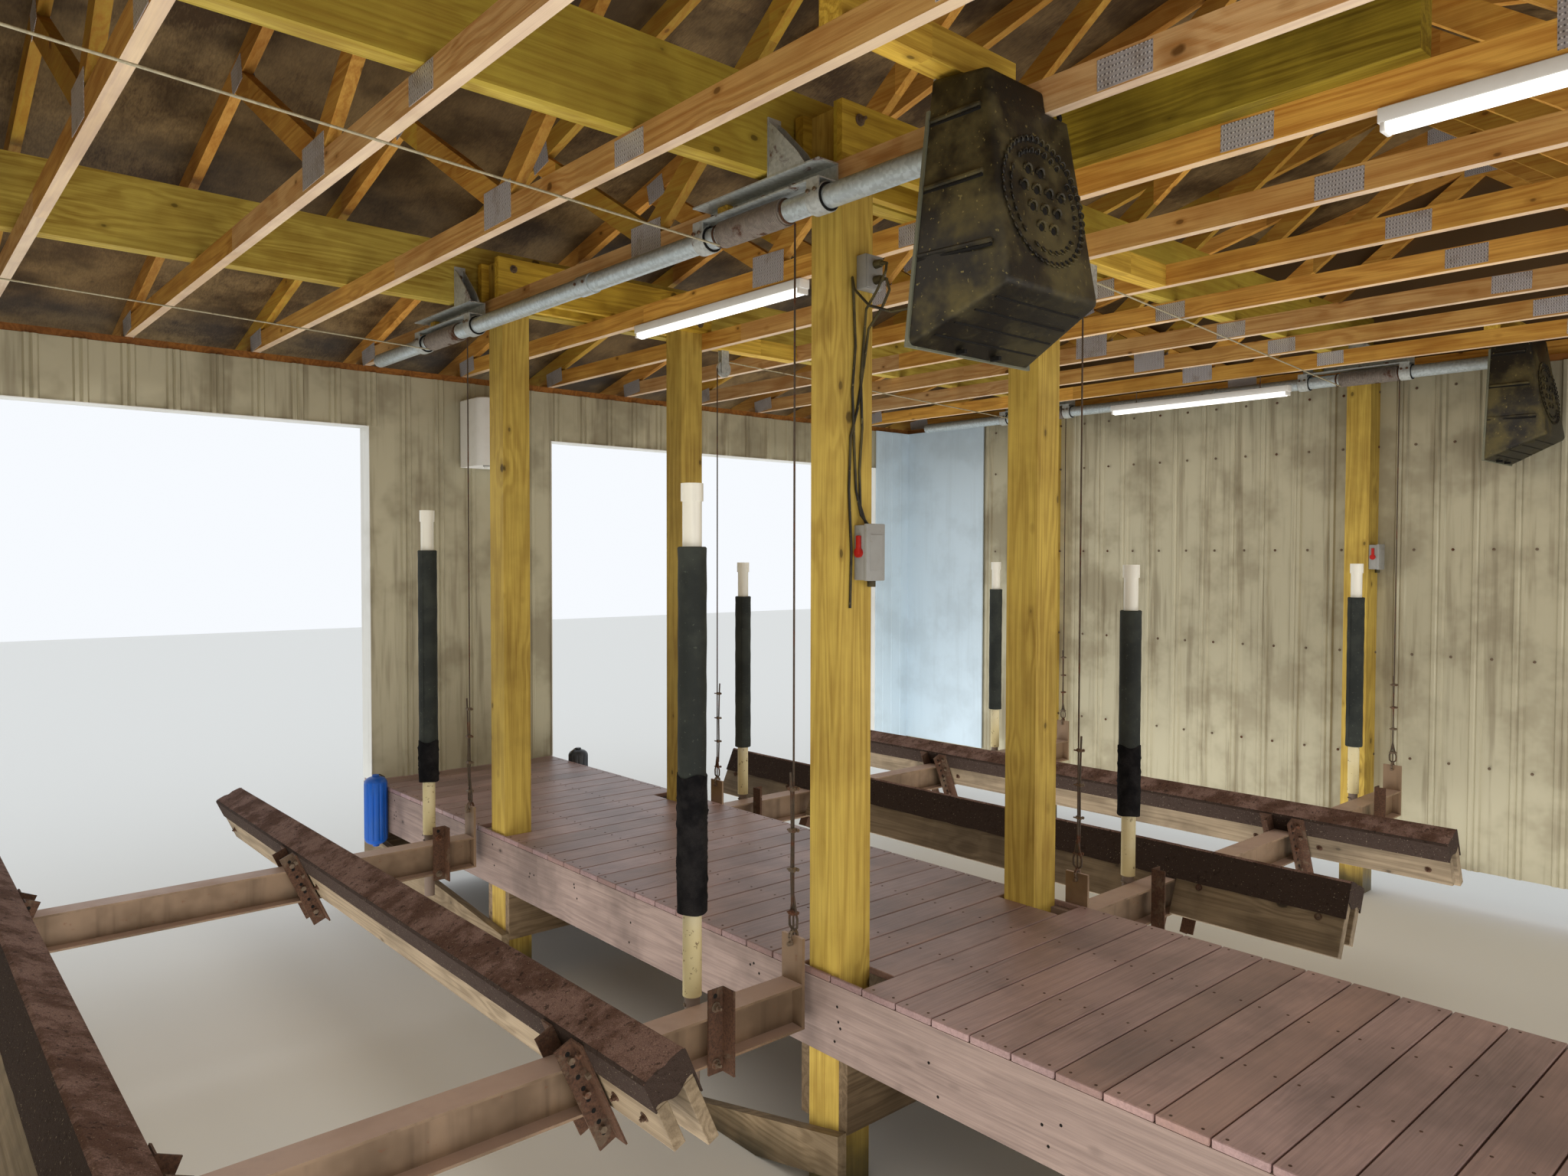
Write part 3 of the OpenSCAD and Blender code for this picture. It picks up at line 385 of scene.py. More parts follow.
class Recipe:
    """A node tree of a material or a group, with short calls to add and wire nodes."""

    source: bpy.types.Node
    sink: bpy.types.Node

    def __init__(self, tree: bpy.types.NodeTree) -> None:
        """Empties the tree that is to be filled."""
        self.tree = tree
        tree.nodes.clear()

    def put(self, kind: str, *wires: object, **settings: object) -> bpy.types.Node:
        """Adds a node.

        Args:
            kind: Name of the node's type, without ShaderNode.
            wires: For each input in order, a socket, a value or None.
            settings: Properties of the node.

        Returns:
            The node.
        """
        node = self.tree.nodes.new("ShaderNode" + kind)
        for name, value in settings.items():
            setattr(node, name, value)
        for index, wire in enumerate(wires):
            self.wire(wire, node.inputs[index])
        return node

    def wire(self, source: object, target: Socket) -> None:
        """Links a socket to an input, or sets the input's value.

        Args:
            source: A socket, a value, or None to leave the input alone.
            target: The input.
        """
        if isinstance(source, Socket):
            self.tree.links.new(source, target)
        elif source is not None:
            target.default_value = source

    def math(self, what: str, *values: object, clamp: bool = False) -> Socket:
        """Adds a Math node and gives its result."""
        return self.put("Math", *values, operation=what, use_clamp=clamp).outputs[0]

    def vector(self, what: str, *values: object) -> Socket:
        """Adds a Vector Math node and gives its result."""
        node = self.put("VectorMath", *values, operation=what)
        return node.outputs["Value" if what == "DOT_PRODUCT" else "Vector"]

    def noise(self, vector: object, scale: float, detail: float = 2, rough: float = 0.5,
              warp: float = 0.0) -> Socket:
        """Adds a Noise texture and gives its value.

        Args:
            vector: The coordinates.
            scale: How fine it is.
            detail: Octaves.
            rough: Weight of the finer octaves.
            warp: Distortion.

        Returns:
            The socket of the value, about 0.3 to 0.7.
        """
        node = self.put("TexNoise")
        for name, value in (
            ("Vector", vector), ("Scale", scale), ("Detail", detail),
            ("Roughness", rough), ("Distortion", warp),
        ):
            self.wire(value, node.inputs[name])
        return node.outputs["Fac"]

    def cells(self, vector: object, scale: float) -> bpy.types.Node:
        """Adds a Voronoi texture of cells round scattered points.

        Args:
            vector: The coordinates.
            scale: How fine it is.

        Returns:
            The node.
        """
        node = self.put("TexVoronoi", vector, feature="F1")
        node.inputs["Scale"].default_value = scale
        return node

    def ramp(self, value: object, low: float, high: float, out_low: float = 0.0,
             out_high: float = 1.0) -> Socket:
        """Maps the range from low to high smoothly to another range, clamped."""
        return self.put(
            "MapRange", value, low, high, out_low, out_high,
            interpolation_type="SMOOTHSTEP",
        ).outputs[0]

    def blend(self, how_much: object, first: object, second: object,
              mode: str = "MIX") -> Socket:
        """Mixes two colours.

        Args:
            how_much: Share of the second colour.
            first: First colour, a socket or three numbers.
            second: Second colour.
            mode: How they are mixed.

        Returns:
            The socket of the mixed colour.
        """
        node = self.put("Mix", data_type="RGBA", blend_type=mode, clamp_factor=True)
        self.wire(how_much, node.inputs["Factor"])
        for value, target in ((first, node.inputs[6]), (second, node.inputs[7])):
            if isinstance(value, tuple):
                value = (*value, 1.0)
            self.wire(value, target)
        return node.outputs[2]

    def shaded(self, colour: object, shade: object) -> Socket:
        """Darkens or lightens a colour by a number."""
        grey = self.put("CombineColor", shade, shade, shade).outputs[0]
        return self.blend(1.0, colour, grey, "MULTIPLY")

    def facing_up(self) -> Socket:
        """Gives how far the surface looks up, from -1 to 1."""
        return self.put("SeparateXYZ", self.put("NewGeometry").outputs["Normal"]).outputs[2]

    def group(self, tree: bpy.types.NodeTree, **wires: object) -> bpy.types.Node:
        """Adds a node group.

        Args:
            tree: The group.
            wires: Its inputs by name, spaces as underscores.

        Returns:
            The node.
        """
        node = self.put("Group", node_tree=tree)
        for name, value in wires.items():
            self.wire(value, node.inputs[name.replace("_", " ")])
        return node


def new_group(name: str, inputs: dict[str, object], outputs: Iterable[str]) -> Recipe:
    """Starts a shader node group.

    Args:
        name: Its name.
        inputs: Name and default of each input; three numbers mean a vector.
        outputs: Name of each value that it puts out.

    Returns:
        A recipe that holds the group's tree, with its input and output nodes added.
    """
    tree = bpy.data.node_groups.new(name, "ShaderNodeTree")
    recipe = Recipe(tree)
    for label, value in inputs.items():
        kind = "NodeSocketVector" if isinstance(value, tuple) else "NodeSocketFloat"
        tree.interface.new_socket(label, in_out="INPUT", socket_type=kind).default_value = value
    for label in outputs:
        tree.interface.new_socket(label, in_out="OUTPUT", socket_type="NodeSocketFloat")
    recipe.source = tree.nodes.new("NodeGroupInput")
    recipe.sink = tree.nodes.new("NodeGroupOutput")
    return recipe


def grain_group() -> bpy.types.NodeTree:
    """Builds the wood grain: growth rings that bend round knots, fibres, knots and halos.

    Returns:
        The node group.
    """
    r = new_group(
        "wood_grain", {"Vector": (0.0, 0.0, 0.0), "Board": 0.0},
        ("Rings", "Fibres", "Knots", "Halo"),
    )
    source = r.source.outputs
    lift = r.math("MULTIPLY", source["Board"], 17.0)
    offset = r.put("CombineXYZ", lift, lift, lift).outputs[0]
    moved = r.vector("ADD", source["Vector"], offset)
    wobble = r.math("MULTIPLY", r.noise(moved, 26.0, 2), 0.05)
    spot, pin = (
        r.math("ADD", r.cells(r.vector("MULTIPLY", moved, per_metre), 1.0).outputs["Distance"],
               wobble)
        for per_metre in ((2.6, 3.6, 3.6), (4.6, 8.0, 8.0)))
    wide = r.vector("MULTIPLY", moved, (0.5, 8.0, 8.0))
    swirl = r.ramp(spot, 0.05, 0.42, 7.0, 0.0)
    bands = r.math("MULTIPLY", r.noise(wide, 1.0, 2, 0.45), 62.0)
    wave = r.math("ADD", bands, swirl)
    r.wire(r.ramp(r.math("SINE", wave), -0.7, 1.0), r.sink.inputs["Rings"])
    fine = r.vector("MULTIPLY", moved, (4.0, 170.0, 170.0))
    r.wire(r.noise(fine, 1.0, 3, 0.6), r.sink.inputs["Fibres"])
    knots = r.math("MAXIMUM", r.ramp(spot, 0.065, 0.095, 1.0, 0.0),
                   r.ramp(pin, 0.075, 0.105, 0.8, 0.0))
    halo = r.math("MAXIMUM", r.ramp(spot, 0.09, 0.2, 1.0, 0.0),
                  r.ramp(pin, 0.1, 0.19, 0.8, 0.0))
    r.wire(knots, r.sink.inputs["Knots"])
    r.wire(halo, r.sink.inputs["Halo"])
    return r.tree


def board_group() -> bpy.types.NodeTree:
    """Builds the number that sets each board or sheet apart from its neighbours.

    Returns:
        The node group.
    """
    r = new_group(
        "board_number",
        {"Vector": (0.0, 0.0, 0.0), "Per metre": (0.0, 0.0, 0.0), "Shift": (0.5, 0.5, 0.5)},
        ("Number", "Second"),
    )
    source = r.source.outputs
    cell = r.vector("FLOOR", r.vector(
        "MULTIPLY_ADD", source["Vector"], source["Per metre"], source["Shift"]))
    noise = r.put("TexWhiteNoise", cell, noise_dimensions="3D")
    r.wire(noise.outputs["Value"], r.sink.inputs["Number"])
    parts = r.put("SeparateColor", noise.outputs["Color"])
    r.wire(parts.outputs[1], r.sink.inputs["Second"])
    return r.tree


def stain_group() -> bpy.types.NodeTree:
    """Builds weather stains: soft blotches, runs that go down, and a tide mark.

    Returns:
        The node group.
    """
    r = new_group(
        "weather",
        {"Vector": (0.0, 0.0, 0.0), "Tide": 0.35},
        ("Blotches", "Runs", "Wet"),
    )
    source = r.source.outputs
    r.wire(r.ramp(r.noise(source["Vector"], 2.3, 4, 0.6), 0.42, 0.66), r.sink.inputs["Blotches"])
    down = r.vector("MULTIPLY", source["Vector"], (14.0, 14.0, 0.9))
    r.wire(r.ramp(r.noise(down, 1.0, 3, 0.6), 0.5, 0.72), r.sink.inputs["Runs"])
    height = r.put("SeparateXYZ", source["Vector"]).outputs[2]
    uneven = r.math("MULTIPLY", r.noise(source["Vector"], 6.0, 3), 0.22)
    level = r.math("SUBTRACT", r.math("ADD", height, uneven), source["Tide"])
    r.wire(r.ramp(level, 0.0, 0.22, 1.0, 0.0), r.sink.inputs["Wet"])
    return r.tree


GRAIN = grain_group()
BOARD = board_group()
WEATHER = stain_group()


class Surface:
    """A material's shader and the coordinates that its patterns use."""

    def __init__(self, name: str, roughness: float = 0.5, metallic: float = 0.0,
                 specular: float = 0.5) -> None:
        """Starts a material.

        Args:
            name: Name of the material.
            roughness: Plain roughness, where nothing drives it.
            metallic: Plain metallic share.
            specular: Plain specular level.
        """
        self.material = bpy.data.materials.new(name)
        self.material.use_nodes = True
        self.recipe = Recipe(self.material.node_tree)
        self.shader = self.recipe.put("BsdfPrincipled")
        self.shader.inputs["Roughness"].default_value = roughness
        self.shader.inputs["Metallic"].default_value = metallic
        self.shader.inputs["Specular IOR Level"].default_value = specular
        output = self.recipe.put("OutputMaterial")
        self.recipe.tree.links.new(self.shader.outputs[0], output.inputs[0])
        self.at = self.recipe.put("TexCoord").outputs["Object"]

    def colour(self, socket: object) -> None:
        """Wires the base colour."""
        self.recipe.wire((*socket, 1.0) if isinstance(socket, tuple) else socket,
                         self.shader.inputs["Base Color"])

    def roughness(self, socket: object) -> None:
        """Wires the roughness."""
        self.recipe.wire(socket, self.shader.inputs["Roughness"])

    def metallic(self, socket: object) -> None:
        """Wires the metallic share."""
        self.recipe.wire(socket, self.shader.inputs["Metallic"])

    def bump(self, height: object, depth: float, strength: float = 1.0) -> None:
        """Raises the surface by a height map.

        Args:
            height: The height, 0 to 1.
            depth: What 1 stands for, in metres.
            strength: Share of the effect.
        """
        node = self.recipe.put("Bump")
        node.inputs["Strength"].default_value = strength
        node.inputs["Distance"].default_value = depth
        self.recipe.wire(height, node.inputs["Height"])
        self.recipe.wire(node.outputs[0], self.shader.inputs["Normal"])


@dataclass(frozen=True)
class Timber:
    """Sawn timber: grain, knots, a shade per board, painted light below where set."""

    name: str
    pale: Colour
    dark: Colour
    grain: Axis = Axis.Y
    per_metre: Triple = (0.0, 0.0, 0.0)
    shift: Triple = (0.5, 0.5, 0.5)
    odd: Colour | None = None
    figure: float = 0.34
    knots: float = 0.85
    spread: float = 0.4
    tide: float = -9.0
    grime: float = 0.25
    mottle: float = 0.2
    roughness: float = 0.62
    gloss: float = 0.3
    # below: colour blended onto faces that look down, a painted reflection of light from beneath.
    below: Colour | None = None
    wet: Colour = tint(52, 50, 36)

    def material(self) -> Material:
        """Builds the material.

        Returns:
            The material.
        """
        surface = Surface(self.name, self.roughness, specular=self.gloss)
        r = surface.recipe
        board = r.group(BOARD, Vector=surface.at, Per_metre=self.per_metre, Shift=self.shift)
        parts = r.put("SeparateXYZ", surface.at)
        order = self.grain.value
        turned = r.put("CombineXYZ", *(parts.outputs[i] for i in order)).outputs[0]
        grain = r.group(GRAIN, Vector=turned, Board=board.outputs["Number"])
        weather = r.group(WEATHER, Vector=surface.at, Tide=self.tide)
        rings = r.math("MULTIPLY", grain.outputs["Rings"], self.figure)
        fibres = r.ramp(grain.outputs["Fibres"], 0.28, 0.75, 0.0, 0.4)
        cloud = r.ramp(r.noise(turned, 2.6, 4, 0.6), 0.35, 0.7, 0.0, self.mottle)
        depth = r.math("ADD", r.math("ADD", rings, fibres), cloud, clamp=True)
        colour = r.blend(depth, self.pale, self.dark)
        if self.odd is not None:
            pick = r.ramp(board.outputs["Second"], 0.35, 0.95)
            colour = r.blend(r.math("MULTIPLY", pick, 0.75), colour,
                             r.blend(r.math("MULTIPLY", depth, 0.8), self.odd, self.dark))
        shade = r.ramp(board.outputs["Number"], 0.0, 1.0,
                       1.0 - self.spread * 0.5, 1.0 + self.spread * 0.3)
        colour = r.shaded(colour, shade)
        colour = r.blend(r.math("MULTIPLY", grain.outputs["Halo"], self.knots * 0.55), colour,
                         tuple(c * 0.72 for c in self.dark))
        colour = r.blend(r.math("MULTIPLY", grain.outputs["Knots"], self.knots), colour,
                         tuple(c * 0.16 for c in self.dark))
        # Painted light: faces that look down are blended towards the below colour, a painted
        # reflection.
        if self.below is not None:
            colour = r.blend(r.ramp(r.facing_up(), -0.9, -0.6, 0.45, 0.0), colour, self.below)
        soil = r.math("MULTIPLY", weather.outputs["Blotches"], self.grime)
        colour = r.blend(soil, colour, tuple(c * 0.45 for c in self.dark))
        if self.tide > -1:
            colour = r.blend(r.math("MULTIPLY", weather.outputs["Wet"], 0.85), colour, self.wet)
            surface.roughness(r.ramp(weather.outputs["Wet"], 0, 1, self.roughness, 0.3))
        surface.colour(colour)
        surface.bump(r.math("ADD", r.math("MULTIPLY", grain.outputs["Rings"], 0.4),
                            grain.outputs["Fibres"]), 0.0012, 0.5)
        return surface.material


@dataclass(frozen=True)
class PaintedSheet:
    """Ribbed or flat painted metal, with dust, runs, small rust spots and painted sky reflection.
    """

    name: str
    paint: Colour
    dirt: Colour
    runs: float = 0.35
    blotches: float = 0.3
    rust: float = 0.0
    rust_tone: Colour = tint(112, 66, 38)
    roughness: float = 0.42
    metallic: float = 0.25
    per_metre: Triple = (0.0, 0.0, 0.0)
    inside: Colour | None = None
    painted_top_reflection: Colour | None = None

    def material(self) -> Material:
        """Builds the material.

        Returns:
            The material.
        """
        surface = Surface(self.name, self.roughness, self.metallic)
        r = surface.recipe
        weather = r.group(WEATHER, Vector=surface.at)
        board = r.group(BOARD, Vector=surface.at, Per_metre=self.per_metre)
        shade = r.ramp(board.outputs["Number"], 0.0, 1.0, 0.93, 1.04)
        colour = r.shaded(self.paint, shade)
        blotches = weather.outputs["Blotches"]
        for mask, share in ((blotches, self.blotches), (weather.outputs["Runs"], self.runs)):
            colour = r.blend(r.math("MULTIPLY", mask, share), colour, self.dirt)
        if self.rust > 0:
            spots = r.ramp(r.noise(surface.at, 31.0, 4, 0.7), 0.62, 0.72, 0.0, self.rust)
            colour = r.blend(spots, colour, self.rust_tone)
        # Painted reflection: faces that look up are blended towards a pale sky tone.
        if self.painted_top_reflection is not None:
            colour = r.blend(r.ramp(r.facing_up(), 0.5, 0.9, 0.0, 0.6), colour, self.painted_top_reflection)
        if self.inside is not None:
            facing = r.vector("DOT_PRODUCT", r.vector("MULTIPLY", surface.at, (1.0, 0.0, 0.0)),
                              r.put("NewGeometry").outputs["Normal"])
            colour = r.blend(r.ramp(facing, -0.4, -0.1, 1.0, 0.0), colour, self.inside)
        surface.colour(colour)
        fine = r.noise(surface.at, 240.0, 2)
        surface.roughness(r.ramp(blotches, 0, 1, self.roughness, self.roughness + 0.25))
        surface.bump(fine, 0.0004, 0.4)
        return surface.material


@dataclass(frozen=True)
class Galvanised:
    """Zinc-coated steel with a faint spangle, and rust where it is set."""

    name: str
    zinc: Colour = tint(168, 170, 168)
    rust: float = 0.0
    roughness: float = 0.4
    metallic: float = 0.75
    rust_tone: Colour = tint(96, 58, 36)

    def material(self) -> Material:
        """Builds the material.

        Returns:
            The material.
        """
        surface = Surface(self.name, self.roughness, self.metallic)
        r = surface.recipe
        spangle = r.put("SeparateColor", r.cells(surface.at, 90.0).outputs["Color"]).outputs[0]
        colour = r.blend(r.ramp(spangle, 0, 1, 0.0, 0.5), self.zinc,
                         tuple(c * 0.55 for c in self.zinc))
        patches = r.noise(surface.at, 9.0, 5, 0.7, 0.4)
        edge = 0.72 - 0.34 * self.rust
        mask = r.ramp(patches, edge - 0.05, edge + 0.08)
        grain = r.noise(surface.at, 140.0, 4, 0.7)
        brown = r.blend(r.ramp(grain, 0.35, 0.7), self.rust_tone,
                        tuple(c * 0.4 for c in self.rust_tone))
        if self.rust > 0:
            colour = r.blend(mask, colour, brown)
            surface.metallic(r.math("MULTIPLY", r.math("SUBTRACT", 1.0, mask), self.metallic))
            surface.roughness(r.ramp(mask, 0, 1, self.roughness, 0.88))
            surface.bump(r.math("MULTIPLY", grain, r.math("ADD", mask, 0.15)), 0.0015, 0.7)
        else:
            surface.bump(spangle, 0.0002, 0.3)
        surface.colour(colour)
        return surface.material


@dataclass(frozen=True)
class NailPlate:
    """A pressed truss plate: rows of small slots in painted shade, tooth lips in painted highlight.
    """

    name: str
    zinc: Colour = tint(190, 188, 192)
    tooth_pitch: float = 0.0105
    row_pitch: float = 0.0135

    def material(self) -> Material:
        """Builds the material.

        Returns:
            The material.
        """
        surface = Surface(self.name, 0.46, 0.35)
        r = surface.recipe
        parts = r.put("SeparateXYZ", surface.at)
        shaken = r.math("MULTIPLY", r.noise(surface.at, 45.0, 2), 0.010)
        sideways = r.math("ADD", parts.outputs[1], shaken)
        across = r.math("SINE", r.math("MULTIPLY", sideways, TURN / self.tooth_pitch))
        up = r.math("SINE", r.math("MULTIPLY", parts.outputs[2], TURN / self.row_pitch))
        # The slots' dark is painted shade in the holes; the bright tooth lips are painted
        # highlights.
        slots = r.math("MULTIPLY", r.ramp(across, 0.45, 0.85), r.ramp(up, 0.1, 0.6))
        teeth = r.math("MULTIPLY", r.ramp(across, -0.8, -0.35, 1.0, 0.0), r.ramp(up, 0.1, 0.7))
        stain = r.ramp(r.noise(surface.at, 12.0, 4, 0.6), 0.5, 0.68, 0.0, 0.45)
        zinc = r.blend(stain, self.zinc, tint(132, 112, 88))
        # Painted highlight on the tooth lips.
        zinc = r.blend(r.math("MULTIPLY", teeth, 0.85), zinc, tint(236, 234, 232))
        # Painted shade in the slots.
        surface.colour(r.blend(r.math("MULTIPLY", slots, 0.8), zinc, tint(74, 66, 58)))
        surface.roughness(r.ramp(slots, 0, 1, 0.42, 0.8))
        surface.bump(r.math("SUBTRACT", teeth, slots), 0.0012, 0.8)
        return surface.material


@dataclass(frozen=True)
class Moulded:
    """Moulded plastic or rubber: fine skin, dust, scuffs, and painted shade underneath where set.
    """

    name: str
    body: Colour
    dust: Colour
    dusty: float = 0.25
    roughness: float = 0.45
    pebble: float = 380.0
    depth: float = 0.0004
    # Brightness left on faces that look down, as painted shade; 1 leaves them alone.
    under: float = 1.0

    def material(self) -> Material:
        """Builds the material.

        Returns:
            The material.
        """
        surface = Surface(self.name, self.roughness, specular=0.4)
        r = surface.recipe
        skin = r.noise(surface.at, self.pebble, 2, 0.5)
        cloud = r.ramp(r.noise(surface.at, 5.0, 4, 0.65), 0.42, 0.7, 0.0, self.dusty)
        specks = r.ramp(r.noise(surface.at, 95.0, 2, 0.4), 0.68, 0.74, 0.0, self.dusty)
        colour = r.blend(cloud, self.body, self.dust)
        colour = r.blend(specks, colour, tuple(min(1.0, c * 1.5) for c in self.dust))
        # Painted shade: faces that look down keep only the under share of their brightness.
        if self.under < 1:
            colour = r.shaded(colour, r.ramp(r.facing_up(), -0.9, -0.4, self.under, 1.0))
        surface.colour(colour)
        surface.roughness(r.ramp(cloud, 0, 1, self.roughness, min(1.0, self.roughness + 0.35)))
        surface.bump(skin, self.depth, 0.6)
        return surface.material


@dataclass(frozen=True)
class Pipework:
    """White plastic pipe, yellowed and mossy towards its foot, in a short steel sleeve."""

    name: str
    low: float
    high: float
    sleeve_top: float = 0.715

    def material(self) -> Material:
        """Builds the material.

        Returns:
            The material.
        """
        surface = Surface(self.name, 0.35)
        r = surface.recipe
        height = r.put("SeparateXYZ", surface.at).outputs[2]
        uneven = r.math("ADD", height, r.math("MULTIPLY", r.noise(surface.at, 11.0, 4), 0.4))
        foot = r.ramp(uneven, self.low, self.high, 0.85, 0.0)
        colour = r.blend(foot, tint(230, 228, 216), tint(196, 178, 118))
        runs = r.group(WEATHER, Vector=surface.at).outputs["Runs"]
        colour = r.blend(r.math("MULTIPLY", runs, 0.3), colour, tint(120, 112, 88))
        spots = r.ramp(r.noise(surface.at, 38.0, 4, 0.7), 0.60, 0.66)
        colour = r.blend(r.math("MULTIPLY", spots, foot), colour, tint(96, 72, 44))
        steel = r.ramp(height, self.sleeve_top - 0.0005, self.sleeve_top + 0.0005, 1.0, 0.0)
        surface.colour(r.blend(steel, colour, tint(112, 96, 84)))
        surface.roughness(r.ramp(foot, 0, 1, 0.32, 0.7))
        surface.bump(r.noise(surface.at, 60.0, 3), 0.0006, 0.35)
        return surface.material


@dataclass(frozen=True)
class Cloth:
    """Woven or piled cloth, with a fine weave, worn, dusty parts and painted shade between tufts.
    """

    name: str
    yarn: Colour
    worn: Colour
    scale: float = 420.0
    depth: float = 0.0015
    lap: Colour | None = None

    def material(self) -> Material:
        """Builds the material.

        Returns:
            The material.
        """
        surface = Surface(self.name, 0.95, specular=0.12)
        r = surface.recipe
        tufts = r.noise(surface.at, self.scale, 3, 0.65)
        patch = r.ramp(r.noise(surface.at, 6.0, 5, 0.7), 0.40, 0.62)
        colour = r.blend(patch, self.yarn, self.worn)
        height = tufts
        if self.lap is not None:
            colour = r.blend(r.ramp(r.facing_up(), 0.45, 0.88, 1.0, 0.0), colour, self.lap)
            rough = r.noise(surface.at, 46.0, 4, 0.7)
            black = r.ramp(rough, 0.56, 0.66, 0.0, 0.75)
            colour = r.blend(black, colour, tuple(c * 0.4 for c in self.lap))
            bits = r.ramp(r.noise(surface.at, 150.0, 2, 0.5), 0.68, 0.72, 0.0, 0.5)
            colour = r.blend(bits, colour, tint(176, 160, 136))
            height = r.math("ADD", tufts, r.math("MULTIPLY", rough, 2.2))
        # Painted shade: the low parts between tufts are darkened.
        surface.colour(r.blend(r.ramp(tufts, 0.35, 0.65, 0.55, 0.0), colour,
                               tuple(c * 0.35 for c in self.yarn)))
        surface.bump(height, self.depth, 0.9)
        return surface.material


@dataclass(frozen=True)
class Glow:
    """The milky diffuser of a strip light."""

    name: str
    strength: float = 0.0

    def material(self) -> Material:
        """Builds the material.

        Returns:
            The material.
        """
        surface = Surface(self.name, 0.35)
        r = surface.recipe
        cloud = r.ramp(r.noise(surface.at, 14.0, 3), 0.4, 0.7, 0.0, 0.35)
        surface.colour(r.blend(cloud, tint(240, 240, 232), tint(205, 205, 192)))
        surface.shader.inputs["Emission Color"].default_value = (1, 1, 0.96, 1)
        surface.shader.inputs["Emission Strength"].default_value = self.strength
        surface.bump(r.noise(surface.at, 160.0, 2), 0.0003, 0.3)
        return surface.material


